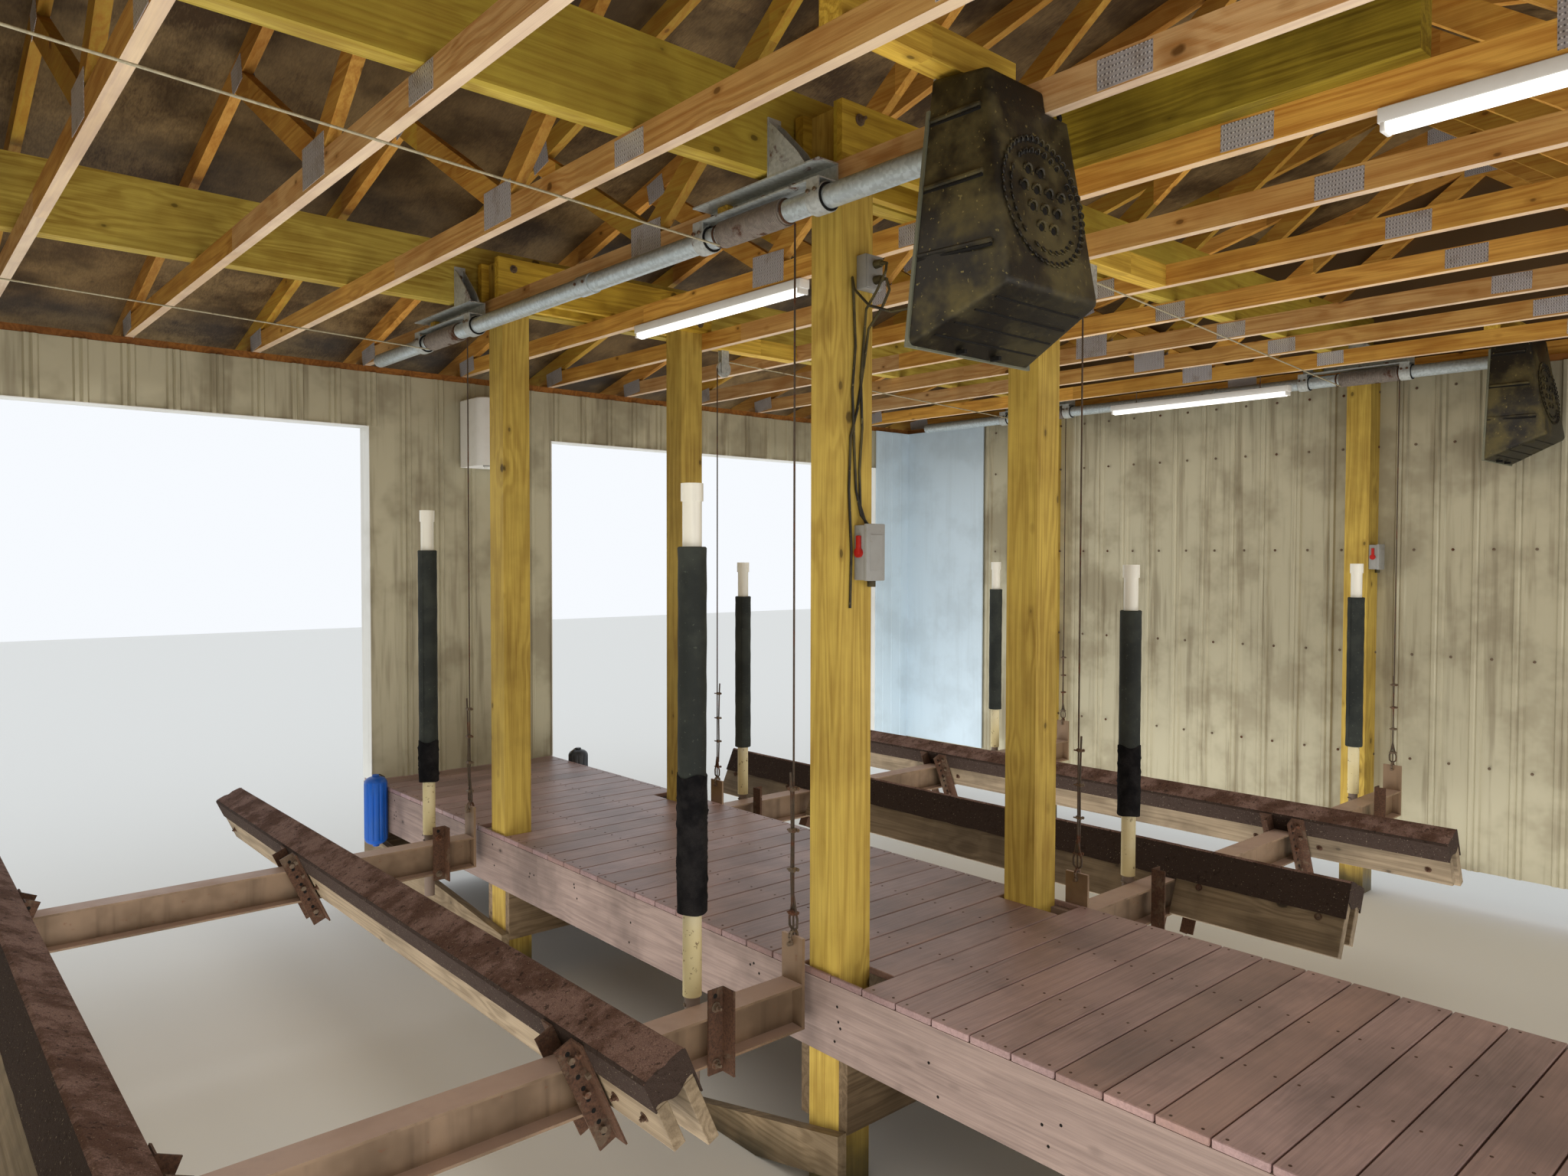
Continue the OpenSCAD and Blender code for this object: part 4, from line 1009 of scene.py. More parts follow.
def stock_finishes() -> Finishes:
    """Builds every finish once.

    Returns:
        The materials by name.
    """
    truss = 1 / 0.616
    pine, pine_dark = tint(236, 184, 88), tint(176, 112, 38)
    pink = tint(226, 192, 146)
    yellow, yellow_dark = tint(214, 178, 62), tint(146, 108, 24)
    olive, olive_dark = tint(176, 156, 52), tint(112, 92, 22)
    finishes = (
        Timber("post_timber", tint(204, 176, 84), tint(146, 114, 44), Axis.Z, (0.5, 0.43, 0.0),
               (0.5, 0.7, 0.5), figure=0.3, spread=0.2, tide=0.15, mottle=0.3),
        # The ties' below colour is painted reflected light on their undersides.
        Timber("tie_timber", pine, pine_dark, Axis.Y, (truss, 0.21, 0.0), odd=pink, spread=0.35,
               below=tint(216, 212, 202)),
        Timber("rafter_timber", tint(222, 168, 84), pine_dark, Axis.Y, (truss, 0.5, 0.0),
               odd=olive, spread=0.5, grime=0.4),
        Timber("web_timber", tint(226, 176, 84), pine_dark, Axis.Y, (truss, 0.7, 0.0),
               odd=olive, spread=0.5, grime=0.4),
        Timber("header_timber", yellow, yellow_dark, Axis.X, (0.0, 9.0, 0.0), odd=olive),
        Timber("side_timber", olive, olive_dark, Axis.Y, (9.0, 0.0, 0.0), mottle=0.4, grime=0.5),
        Timber("lift_timber", tint(206, 184, 84), tint(150, 120, 40), Axis.X, (0.0, 26.3, 0.0),
               odd=olive, spread=0.3, mottle=0.4),
        Timber("blocking_timber", tint(226, 190, 78), tint(160, 120, 36), Axis.X, (1.6, 6.0, 0.0)),
        # The deck's mauve cast is painted sky reflection over the boards' weathered tone.
        Timber("deck_timber", tint(174, 144, 140), tint(116, 92, 92), Axis.X, (0.0, 7.0274, 0.0),
               (0.5, 0.0513, 0.5), odd=tint(156, 122, 108), figure=0.14, spread=0.36,
               grime=0.4, knots=0.0, mottle=0.35, roughness=0.42, gloss=0.6),
        Timber("rim_timber", tint(158, 138, 128), tint(108, 92, 86), Axis.Y, (0.8, 0.21, 0.0),
               odd=tint(150, 136, 112), figure=0.2, spread=0.25, tide=-0.2, grime=0.5),
        Timber("under_timber", tint(146, 124, 96), tint(90, 72, 50), Axis.X, (0.8, 9.0, 0.0),
               tide=0.1, grime=0.5),
        Timber("pile_timber", tint(158, 140, 98), tint(98, 80, 48), Axis.Z, (0.4, 0.43, 0.0),
               tide=0.18, grime=0.5),
        Timber("brace_timber", tint(172, 152, 122), tint(114, 94, 68), Axis.Y, (0.9, 0.3, 0.0),
               tide=0.05, grime=0.5),
        Timber("plate_timber", tint(176, 116, 52), tint(116, 68, 28), Axis.Y, (0.3, 0.25, 0.0),
               odd=tint(150, 98, 50)),
        Timber("sill_timber", tint(120, 104, 80), tint(76, 62, 44), Axis.Y, (0.3, 0.3, 0.0),
               tide=0.1),
        Timber("frame_timber", tint(168, 138, 92), tint(112, 84, 48), Axis.Z, (1.5, 1.5, 0.0)),
        Timber("roof_boarding", tint(136, 112, 74), tint(66, 48, 28), Axis.Y, (0.82, 0.41, 0.0),
               odd=tint(108, 86, 54), figure=0.1, spread=0.5, grime=0.75, mottle=0.8, knots=0.4),
        Timber("plank_timber", tint(150, 132, 106), tint(98, 82, 60), Axis.Y, (0.9, 0.0, 0.0),
               grime=0.5),
        PaintedSheet("lining_sheet", tint(188, 182, 156), tint(104, 90, 66), 0.5, 0.4,
                     per_metre=(1.1, 1.1, 0.0)),
        PaintedSheet("outer_sheet", tint(206, 204, 194), tint(140, 134, 120), 0.3, 0.1,
                     per_metre=(1.1, 1.1, 0.0)),
        PaintedSheet("gable_sheet", tint(206, 204, 194), tint(140, 134, 120), 0.3, 0.1,
                     per_metre=(0.0, 1.1, 0.0), inside=tint(104, 84, 58)),
        PaintedSheet("roof_sheet", tint(190, 192, 188), tint(134, 130, 120), 0.15, 0.08,
                     per_metre=(1.1, 0.0, 0.0), metallic=0.5),
        PaintedSheet("white_trim", tint(232, 232, 226), tint(168, 162, 148), 0.15, 0.2,
                     metallic=0.1),
        PaintedSheet("white_panel", tint(200, 218, 230), tint(150, 162, 168), 0.12, 0.25,
                     metallic=0.0, roughness=0.5),
        # The beam paint's pale tone on faces that look up is painted sky reflection.
        PaintedSheet("beam_paint", tint(132, 108, 84), tint(66, 50, 32), 0.5, 0.6, rust=0.6,
                     roughness=0.5, metallic=0.1, painted_top_reflection=tint(196, 168, 154)),
        Galvanised("galvanised", tint(190, 200, 202), roughness=0.36, metallic=0.45),
        Galvanised("weathered_zinc", tint(184, 188, 184), 0.2, 0.45, 0.35),
        Galvanised("rusty_steel", tint(104, 86, 68), 0.95, 0.6, 0.4, tint(84, 56, 38)),
        Galvanised("wire_rope", tint(84, 72, 60), 0.5, 0.6, 0.4),
        Galvanised("wound_rope", tint(140, 130, 120), 0.3, 0.6, 0.3),
        Galvanised("pale_rope", tint(182, 174, 146), 0.2, 0.6, 0.3),
        Galvanised("bolt_steel", tint(128, 112, 94), 0.6, 0.5, 0.6),
        Cloth("dirty_rope", tint(96, 90, 80), tint(140, 130, 110), 900.0, 0.0006),
        NailPlate("nail_plate"),
        # The black cover's under share paints shade on its underside.
        Moulded("black_cover", tint(27, 24, 18), tint(98, 88, 52), 0.75, 0.5, under=0.35),
        Moulded("grey_green", tint(98, 100, 84), tint(130, 126, 104), 0.4, 0.6),
        Moulded("foam_sleeve", tint(36, 40, 38), tint(74, 78, 70), 0.4, 0.85, 220.0, 0.001),
        Moulded("blue_vinyl", tint(14, 82, 172), tint(60, 100, 150), 0.25, 0.35),
        Moulded("dark_vinyl", tint(40, 44, 52), tint(90, 90, 86), 0.35, 0.4),
        Moulded("grey_box", tint(150, 150, 146), tint(110, 104, 92), 0.3, 0.45),
        Moulded("white_enamel", tint(236, 236, 232), tint(190, 186, 174), 0.2, 0.3, 300.0, 0.0002),
        Moulded("red_lever", tint(170, 30, 24), tint(120, 50, 40), 0.2, 0.4),
        # dark_gap is near-black: painted shade in holes, slots, grooves and under ribs; it also
        # colours dark joints, seams and nails.
        Moulded("dark_gap", tint(12, 11, 10), tint(30, 28, 24), 0.2, 0.8),
        Pipework("post_pipe", 0.9, 1.9),
        Cloth("bunk_carpet", tint(98, 72, 60), tint(146, 118, 108), 300.0, 0.004, tint(60, 50, 44)),
        Cloth("black_cloth", tint(18, 18, 20), tint(44, 42, 42), 700.0, 0.0006),
        Glow("diffuser", 1.1),
    )
    return {finish.name: finish.material() for finish in finishes}


NODES_OF_FINISH = {
    "post_timber": "dock_posts wall_posts",
    "pile_timber": "front_piles outer_piles",
    "under_timber": "dock_beams dock_joists platform_frame",
    "rim_timber": "dock_rim",
    "brace_timber": "dock_braces",
    "deck_timber": "dock_deck platform_deck",
    "sill_timber": "wall_sills",
    "frame_timber": "front_wall left_wall right_wall back_wall",
    "outer_sheet": "outer_siding",
    "lining_sheet": "wall_lining",
    "white_trim": "opening_trim eave_boards",
    "white_panel": "corner_panels",
    "plate_timber": "top_plates",
    "tie_timber": "truss_ties",
    "rafter_timber": "truss_rafters",
    "web_timber": "truss_webs",
    "gable_sheet": "gable_siding",
    "roof_boarding": "roof_boarding",
    "roof_sheet": "roof_sheets ridge_cap",
    "header_timber": "header_beams",
    "side_timber": "side_planks",
    "lift_timber": "lift_beams",
    "blocking_timber": "lift_blocking",
    "white_enamel": "strip_lights water_heater",
    "grey_box": "switch_boxes",
    "dark_vinyl": "dock_fenders",
    "weathered_zinc": "pipe_hangers cable_pulleys",
    "pale_rope": "cross_cables",
    "black_cover": "motor_covers",
    "galvanised": "left_drive_pipe right_drive_pipe",
    "wire_rope": "left_drop_cables right_drop_cables",
    "beam_paint": "left_cradle_beams right_cradle_beams",
    "post_pipe": "left_guide_posts right_guide_posts",
    "foam_sleeve": "left_guide_foam right_guide_foam",
    "rusty_steel": "left_bunk_brackets right_bunk_brackets",
    "bunk_carpet": "left_bunks right_bunks",
}


def dress_nodes(finishes: Finishes) -> None:
    """Gives every carried-over CAD node its finish.

    Args:
        finishes: The materials by name.
    """
    for look, names in NODES_OF_FINISH.items():
        for name in names.split():
            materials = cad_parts[name].data.materials
            materials.clear()
            materials.append(finishes[look])


# ---------------- studio


@dataclass
class Studio:
    """The camera at the photograph's angle, a pale floor and soft light."""

    eye: Point = (2.974, 2.02, 2.08)
    look: Point = (-0.661, -0.750, -0.028)
    roll: float = 0.12
    lens: float = 24.4
    floor: Colour = tint(226, 226, 222)
    air: Colour = (0.93, 0.96, 1.0)

    def set_camera(self) -> None:
        """Places the camera."""
        data = bpy.data.cameras.new("view")
        data.lens = self.lens
        data.sensor_width = 36.0
        data.clip_start = 0.05
        data.clip_end = 200.0
        camera = bpy.data.objects.new("view", data)
        aim = Vector(self.look).to_track_quat("-Z", "Y").to_matrix().to_4x4()
        camera.matrix_world = place(self.eye, aim @ spin_about("Z", self.roll))
        bpy.context.scene.collection.objects.link(camera)
        bpy.context.scene.camera = camera

    def lay_floor(self) -> None:
        """Lays the plain floor under the piles."""
        shape = bmesh.new()
        bmesh.ops.create_grid(shape, x_segments=1, y_segments=1, size=30.0)
        bmesh.ops.translate(shape, vec=(0, 0, -0.002), verts=shape.verts)
        data = bpy.data.meshes.new("floor")
        shape.to_mesh(data)
        shape.free()
        surface = Surface("floor", 0.8)
        surface.colour(self.floor)
        data.materials.append(surface.material)
        floor = bpy.data.objects.new("floor", data)
        bpy.context.scene.collection.objects.link(floor)

    def lamp(self, name: str, at: Point, aim: Point, size: Span, watts: float,
             colour: Colour = (1.0, 1.0, 1.0), glossy: bool = True) -> None:
        """Hangs one soft lamp that the camera doesn't see.

        Args:
            name: Its name.
            at: Where it hangs.
            aim: The way that it faces.
            size: Its width and height.
            watts: Its power.
            colour: Its colour.
            glossy: Whether shiny faces mirror it.
        """
        data = bpy.data.lights.new(name, "AREA")
        data.shape = "RECTANGLE"
        data.size, data.size_y = size
        data.energy = watts
        data.color = colour
        lamp = bpy.data.objects.new(name, data)
        lamp.matrix_world = place(at, Vector(aim).to_track_quat("-Z", "Y").to_matrix().to_4x4())
        lamp.visible_camera = False
        lamp.visible_glossy = glossy
        bpy.context.scene.collection.objects.link(lamp)

    def light(self) -> None:
        """Lights the inside with soft lamps and the outside with plain air."""
        world = bpy.data.worlds.new("air")
        world.use_nodes = True
        world.node_tree.nodes["Background"].inputs["Color"].default_value = (*self.air, 1.0)
        world.node_tree.nodes["Background"].inputs["Strength"].default_value = 1.0
        bpy.context.scene.world = world
        for side in (-1, 1):
            self.lamp(f"slip_{side}", (2.4 * side, -1.2, 0.02), (0, 0, 1), (3.0, 6.5), 150,
                      glossy=False)
            self.lamp(f"ties_{side}", (2.3 * side, -1.0, 3.02), (0, 0, -1), (2.4, 6.0), 36,
                      (1.0, 0.97, 0.9))
        self.lamp("over_platform", (0.0, 3.2, 0.80), (0, -0.2, 1), (7.0, 1.6), 60)
        self.lamp("behind_view", (2.6, 3.5, 1.9), (-0.5, -1, 0.1), (3.2, 2.0), 45)
        self.lamp("behind_dock", (-1.5, 4.1, 1.9), (-0.1, -1, 0.1), (4.0, 2.0), 45)

    def build(self) -> None:
        """Sets the whole studio."""
        self.set_camera()
        self.lay_floor()
        self.light()
        bpy.context.scene.view_settings.view_transform = "Standard"


# ---------------- the building


def segments(low: float, high: float, holes: Iterable[Span]) -> list[Span]:
    """Cuts a stretch at its holes.

    Args:
        low: Where the stretch starts.
        high: Where it ends.
        holes: Start and end of each hole, in order.

    Returns:
        Start and end of each part that is left.
    """
    parts, start = [], low
    for first, last in holes:
        if last <= start or first >= high:
            continue
        if first > start:
            parts.append((start, first))
        start = last
    if start < high:
        parts.append((start, high))
    return parts


@dataclass
class Decking(Fitter):
    """Deck boards across the dock and the rear platform, with gaps and screws."""

    pitch: float = 0.1423
    first_gap: float = 0.135
    gap: float = 0.005
    under: float = 0.706
    top: float = 0.730
    edge: float = 0.610
    front: float = -4.572
    platform: float = 2.270
    rows: tuple[float, ...] = POST_ROWS
    post: Span = (0.457, 0.597)

    def post_holes(self, low: float, high: float) -> list[Span]:
        """Gives the stretches of X that posts take from a board.

        Args:
            low: The board's start along Y.
            high: Its end along Y.

        Returns:
            The stretches, or none.
        """
        half = (self.post[1] - self.post[0]) / 2
        if any(low < y + half and high > y - half for y in self.rows):
            inner, outer = self.post
            return [(-outer - 0.001, -inner + 0.001), (inner - 0.001, outer + 0.001)]
        return []

    def boards(self, name: str, node: str, span: Span, half: float,
               nails: Sequence[float], holes: bool) -> None:
        """Lays one field of boards.

        Args:
            name: Name of the piece.
            node: The CAD node that it replaces.
            span: Start and end along Y.
            half: Half the boards' length.
            nails: X of each line of screws.
            holes: Whether posts pass through.
        """
        pick = random.Random(7)
        piece = self.piece(name, "deck_timber", "rusty_steel")
        screw = rod((0, 0, -0.001), (0, 0, 0.0006), 0.0045, 8)
        screw_spots = []
        index = math.floor((span[0] - self.first_gap) / self.pitch)
        while self.first_gap + index * self.pitch < span[1]:
            low = max(span[0], self.first_gap + index * self.pitch + self.gap / 2)
            high = min(span[1], self.first_gap + (index + 1) * self.pitch - self.gap / 2)
            index += 1
            if high - low < 0.02:
                continue
            cuts = self.post_holes(low, high) if holes else []
            sink = pick.uniform(0, 0.0012)
            for start, end in segments(-half, half, cuts):
                if end - start > 0.012:
                    piece.add(block((start, low, self.under), (end, high, self.top - sink), 0.0025))
                for x in nails:
                    if start < x < end:
                        for y in (low + 0.028, high - 0.028):
                            jitter = pick.uniform(-0.006, 0.006)
                            screw_spots.append(place((x + jitter, y, self.top - sink)))
        piece.add(screw, 1, screw_spots)
        piece.finish("building", "deck_boards", (node,))

    def build(self) -> None:
        """Lays the dock and the platform."""
        self.boards("dock_boards", "dock_deck", (self.front, self.platform), self.edge,
                    (-0.585, -0.203, 0.203, 0.585), True)
        lines = [i * 0.839 for i in range(-4, 5)]
        self.boards("platform_boards", "platform_deck", (self.platform, 4.445), 4.195, lines, False)


@dataclass
class TrussPlates(Fitter):
    """Pressed plates on both faces of every truss joint."""

    pitch: float = 0.616
    gable: float = 4.303
    half: float = 0.019
    tie_low: float = 3.230
    tie_top: float = 3.319
    foot: float = 1.440
    slope: float = 0.25
    wall: float = 4.572
    heel: float = 0.029
    thickness: float = 0.0015

    def rafter_low(self, y: float) -> float:
        """Gives the height of a rafter's underside."""
        return self.tie_low + self.heel + self.slope * (self.wall - abs(y))

    def spots(self) -> list[tuple[float, float, float, float, float]]:
        """Lists the plates of one truss.

        Returns:
            Middle along Y, middle height, length, height and tilt of each.
        """
        tilt = math.degrees(math.atan(self.slope))
        mid = self.wall / 2
        found = []
        for s in (-1, 1):
            found.append((s * self.foot, self.tie_top - 0.012, 0.20, 0.13, 0.0))
            found.append((s * mid, self.rafter_low(mid) + 0.025, 0.13, 0.10, -s * tilt))
            found.append((s * (self.wall - 0.20), self.tie_top - 0.035, 0.20, 0.09,
                          -s * tilt * 0.5))
            found.append((s * 0.62, self.tie_low + 0.045, 0.15, 0.076, 0.0))
        found.append((0.0, self.rafter_low(0) + 0.012, 0.20, 0.12, 0.0))
        return found

    def build(self) -> None:
        """Presses the plates on every truss."""
        pick = random.Random(11)
        piece = self.piece("truss_plates", "nail_plate")
        lines = [self.pitch * k for k in range(-6, 7)] + [-self.gable, self.gable]
        for x in lines:
            for side in (-1, 1):
                if abs(x) > 4.2 and side * x > 0:
                    continue
                for y, z, length, height, tilt in self.spots():
                    shape = block((0, -length / 2, -height / 2),
                                  (self.thickness, length / 2, height / 2))
                    shift = (pick.uniform(-0.012, 0.012), pick.uniform(-0.004, 0.004))
                    turn = spin_about("X", tilt + pick.uniform(-1.2, 1.2))
                    edge = x + side * self.half + (0 if side > 0 else -self.thickness)
                    piece.add(shape, 0, [place((edge, y + shift[0], z + shift[1]), turn)])
        piece.finish("building", "galvanised_steel")


@dataclass
class MotorCover(Fitter):
    """A moulded cover over a lift's motor: side ribs, a vented front, a grooved underside."""

    name: str
    middle: float
    cut: float | None = None
    back: float = 0.190
    depth: float = 0.275
    low: float = 2.615
    high: float = 3.315
    tie: float = 3.225
    width: float = 0.525
    rib: float = 0.0085

    def half(self, y: float, z: float) -> float:
        """Gives the half width of the cover.

        Args:
            y: How far behind the middle.
            z: Height.

        Returns:
            The half width, in metres.
        """
        plan = 0.5 - 0.12 * (y - self.back) / self.depth
        front = 0.5 - 0.185 * (z - self.low + 0.02) / (self.high - self.low + 0.04)
        return min(plan, front) * self.width

    def profile(self) -> list[Point]:
        """Draws the side outline.

        Returns:
            The back foot, back top, front top and front foot, as Y and Z.
        """
        return [
            (self.back + 0.008, self.low + 0.004), (self.back + 0.008, self.high - 0.002),
            (self.back + self.depth * 0.67, self.high - 0.027),
            (self.back + self.depth, self.low + 0.125),
        ]

    def shell(self) -> list[Shape]:
        """Shapes the outside, cut beside the truss where one passes it.

        Returns:
            The part under the truss, and the part above it.
        """
        shape = bmesh.new()
        rows = []
        for s in (-1, 1):
            rows.append([shape.verts.new((s * (self.half(y, z) - 0.006), y, z))
                         for y, z in self.profile()])
        shape.faces.new(rows[0])
        shape.faces.new(rows[1])
        for i in range(4):
            shape.faces.new((rows[0][i], rows[0][i - 1], rows[1][i - 1], rows[1][i]))
        bmesh.ops.recalc_face_normals(shape, faces=shape.faces)
        soften(shape, [e for e in shape.edges if max(v.co.y for v in e.verts) > self.back + 0.05],
               0.017, 4)
        parts = [shape]
        if self.cut is not None:
            parts.append(shape.copy())
            self.trim(parts[0], (0, 0, self.tie), (0, 0, 1))
            self.trim(parts[1], (0, 0, self.tie), (0, 0, -1))
            self.trim(parts[1], (self.cut - self.middle, 0, 0), (-1, 0, 0))
        for part in parts:
            bmesh.ops.translate(part, vec=(self.middle, 0, 0), verts=part.verts)
        return parts

    @staticmethod
    def trim(shape: Shape, at: Point, normal: Point) -> None:
        """Cuts away what lies past a plane, and closes the cut.

        Args:
            shape: The shape to cut.
            at: A point of the plane.
            normal: The way that is cut away.
        """
        bmesh.ops.bisect_plane(
            shape, geom=shape.verts[:] + shape.edges[:] + shape.faces[:],
            plane_co=at, plane_no=normal, clear_outer=True,
        )
        bmesh.ops.holes_fill(shape, edges=[e for e in shape.edges if e.is_boundary], sides=0)

    def ribs(self, piece: Piece) -> None:
        """Adds three level ribs on each tapering side, with painted shadow under each.

        Args:
            piece: The piece that takes them.
        """
        for share, reach in ((0.17, 0.78), (0.42, 0.80), (0.67, 0.84)):
            z = self.high - share * (self.high - self.low)
            start = self.back + 0.012
            run = (self.depth * (0.67 + 0.33 * min(1, share / 0.82))) * reach
            for s in (-1, 1):
                ends = [Vector((self.middle + s * (self.half(y, z) - self.rib), y, z))
                        for y in (start, start + run)]
                piece.add(rod(*ends, self.rib, 10, bevel=0.005))
                # A near-black rod just under each rib is painted shadow.
                shadow = Vector((s * 0.0015, 0, -0.011))
                piece.run([end + shadow for end in ends], 0.0045, 6, 1)

    def vents(self, piece: Piece) -> None:
        """Adds the hooded vents: two rings of small ones round a field of larger ones.

        Args:
            piece: The piece that takes them.
        """
        _, _, top, foot = self.profile()
        lean = math.atan2(foot[0] - top[0], top[1] - foot[1])
        share = 0.57
        mid = (self.middle + 0.004, top[0] + share * (foot[0] - top[0]),
               top[1] - share * (top[1] - foot[1]))
        base = place(mid, spin_about("X", -90 + math.degrees(lean)) @ spin_about("Z", 180))
        spots = [(0.160, TURN * k / 44, 0.0100) for k in range(44)]
        spots += [(0.130, TURN * (k + 0.5) / 30, 0.0088) for k in range(30) if k % 8 != 3]
        for radius, angle, size in spots:
            where = (radius * math.cos(angle), radius * math.sin(angle), 0.0)
            self.vent(piece, base @ place(where, spin_about("Z", math.degrees(angle) - 90)), size)
        for i, j in ((-1, 1.5), (0, 1.5), (-1.5, 0.5), (-0.5, 0.5), (0.5, 0.5), (1.5, 0.5),
                     (-1, -0.5), (0, -0.5), (1, -0.5), (-0.5, -1.5), (0.5, -1.5)):
            self.vent(piece, base @ place((i * 0.052, j * 0.048, 0), spin_about("Z", -12)), 0.0155)
        # A near-black disc is painted shade for a small hole in the front.
        hole = (self.middle - 0.128, top[0] + 0.006, top[1] - 0.052)
        piece.add(lathe([(0.0001, 0.004), (0.009, 0.004), (0.009, -0.004)], 12), 1,
                  [place(hole, base.to_3x3().to_4x4()) @ Matrix.Diagonal((0.75, 1.5, 1, 1))])

    @staticmethod
    def vent(piece: Piece, spot: Matrix, size: float) -> None:
        """Adds one vent: a raised crescent lip over its slot, a disc of painted shade.

        Args:
            piece: The piece that takes it.
            spot: Where it goes, its Z axis out of the face.
            size: Radius of the lip.
        """
        steps = 6
        points = [(size * math.cos(a), size * math.sin(a), 0.0012 + 0.0045 * math.sin(a))
                  for a in (math.radians(-15 + 210 * k / steps) for k in range(steps + 1))]
        piece.run(points, size * 0.26, 5, 0, [spot])
        # The near-black disc under the lip is painted shade for the slot.
        gap = lathe([(0.0001, 0.0014), (size * 0.62, 0.0014), (size * 0.7, -0.001)], 8)
        piece.add(gap, 1, [spot])

    def build(self, replaced: Iterable[str]) -> None:
        """Makes the cover.

        Args:
            replaced: The CAD nodes that it stands for.
        """
        piece = self.piece(self.name, "black_cover", "dark_gap", "grey_green")
        for part in self.shell():
            piece.add(part)
        self.ribs(piece)
        self.vents(piece)
        outline = [(self.half(self.back, z), z) for z in (self.low, self.tie)]
        (x1, z1), (x2, z2) = outline
        rim = prism([(-x1, z1), (x1, z1), (x2, z2), (-x2, z2)], 0.010,
                    place((self.middle, self.back + 0.010, 0), spin_about("X", 90)))
        piece.add(rim, 2)
        back, foot = self.profile()[0], self.profile()[3]
        # Near-black rods along the underside are painted shade for its grooves.
        for share in (0.2, 0.4, 0.6, 0.8):
            y, z = (b + share * (f - b) for b, f in zip(back, foot))
            reach = self.half(y, z) - 0.035
            piece.add(rod((self.middle - reach, y, z + 0.001), (self.middle + reach, y, z + 0.001),
                          0.004, 6), 1)
        for x in (-0.07, 0.075):
            piece.add(block((self.middle + x - 0.006, self.back + 0.02, self.low),
                            (self.middle + x + 0.006, self.back + 0.05, self.low + 0.012),
                            0.001), 1)
        piece.finish("building", "black_cover", replaced, 30)


# ---------------- the lifts


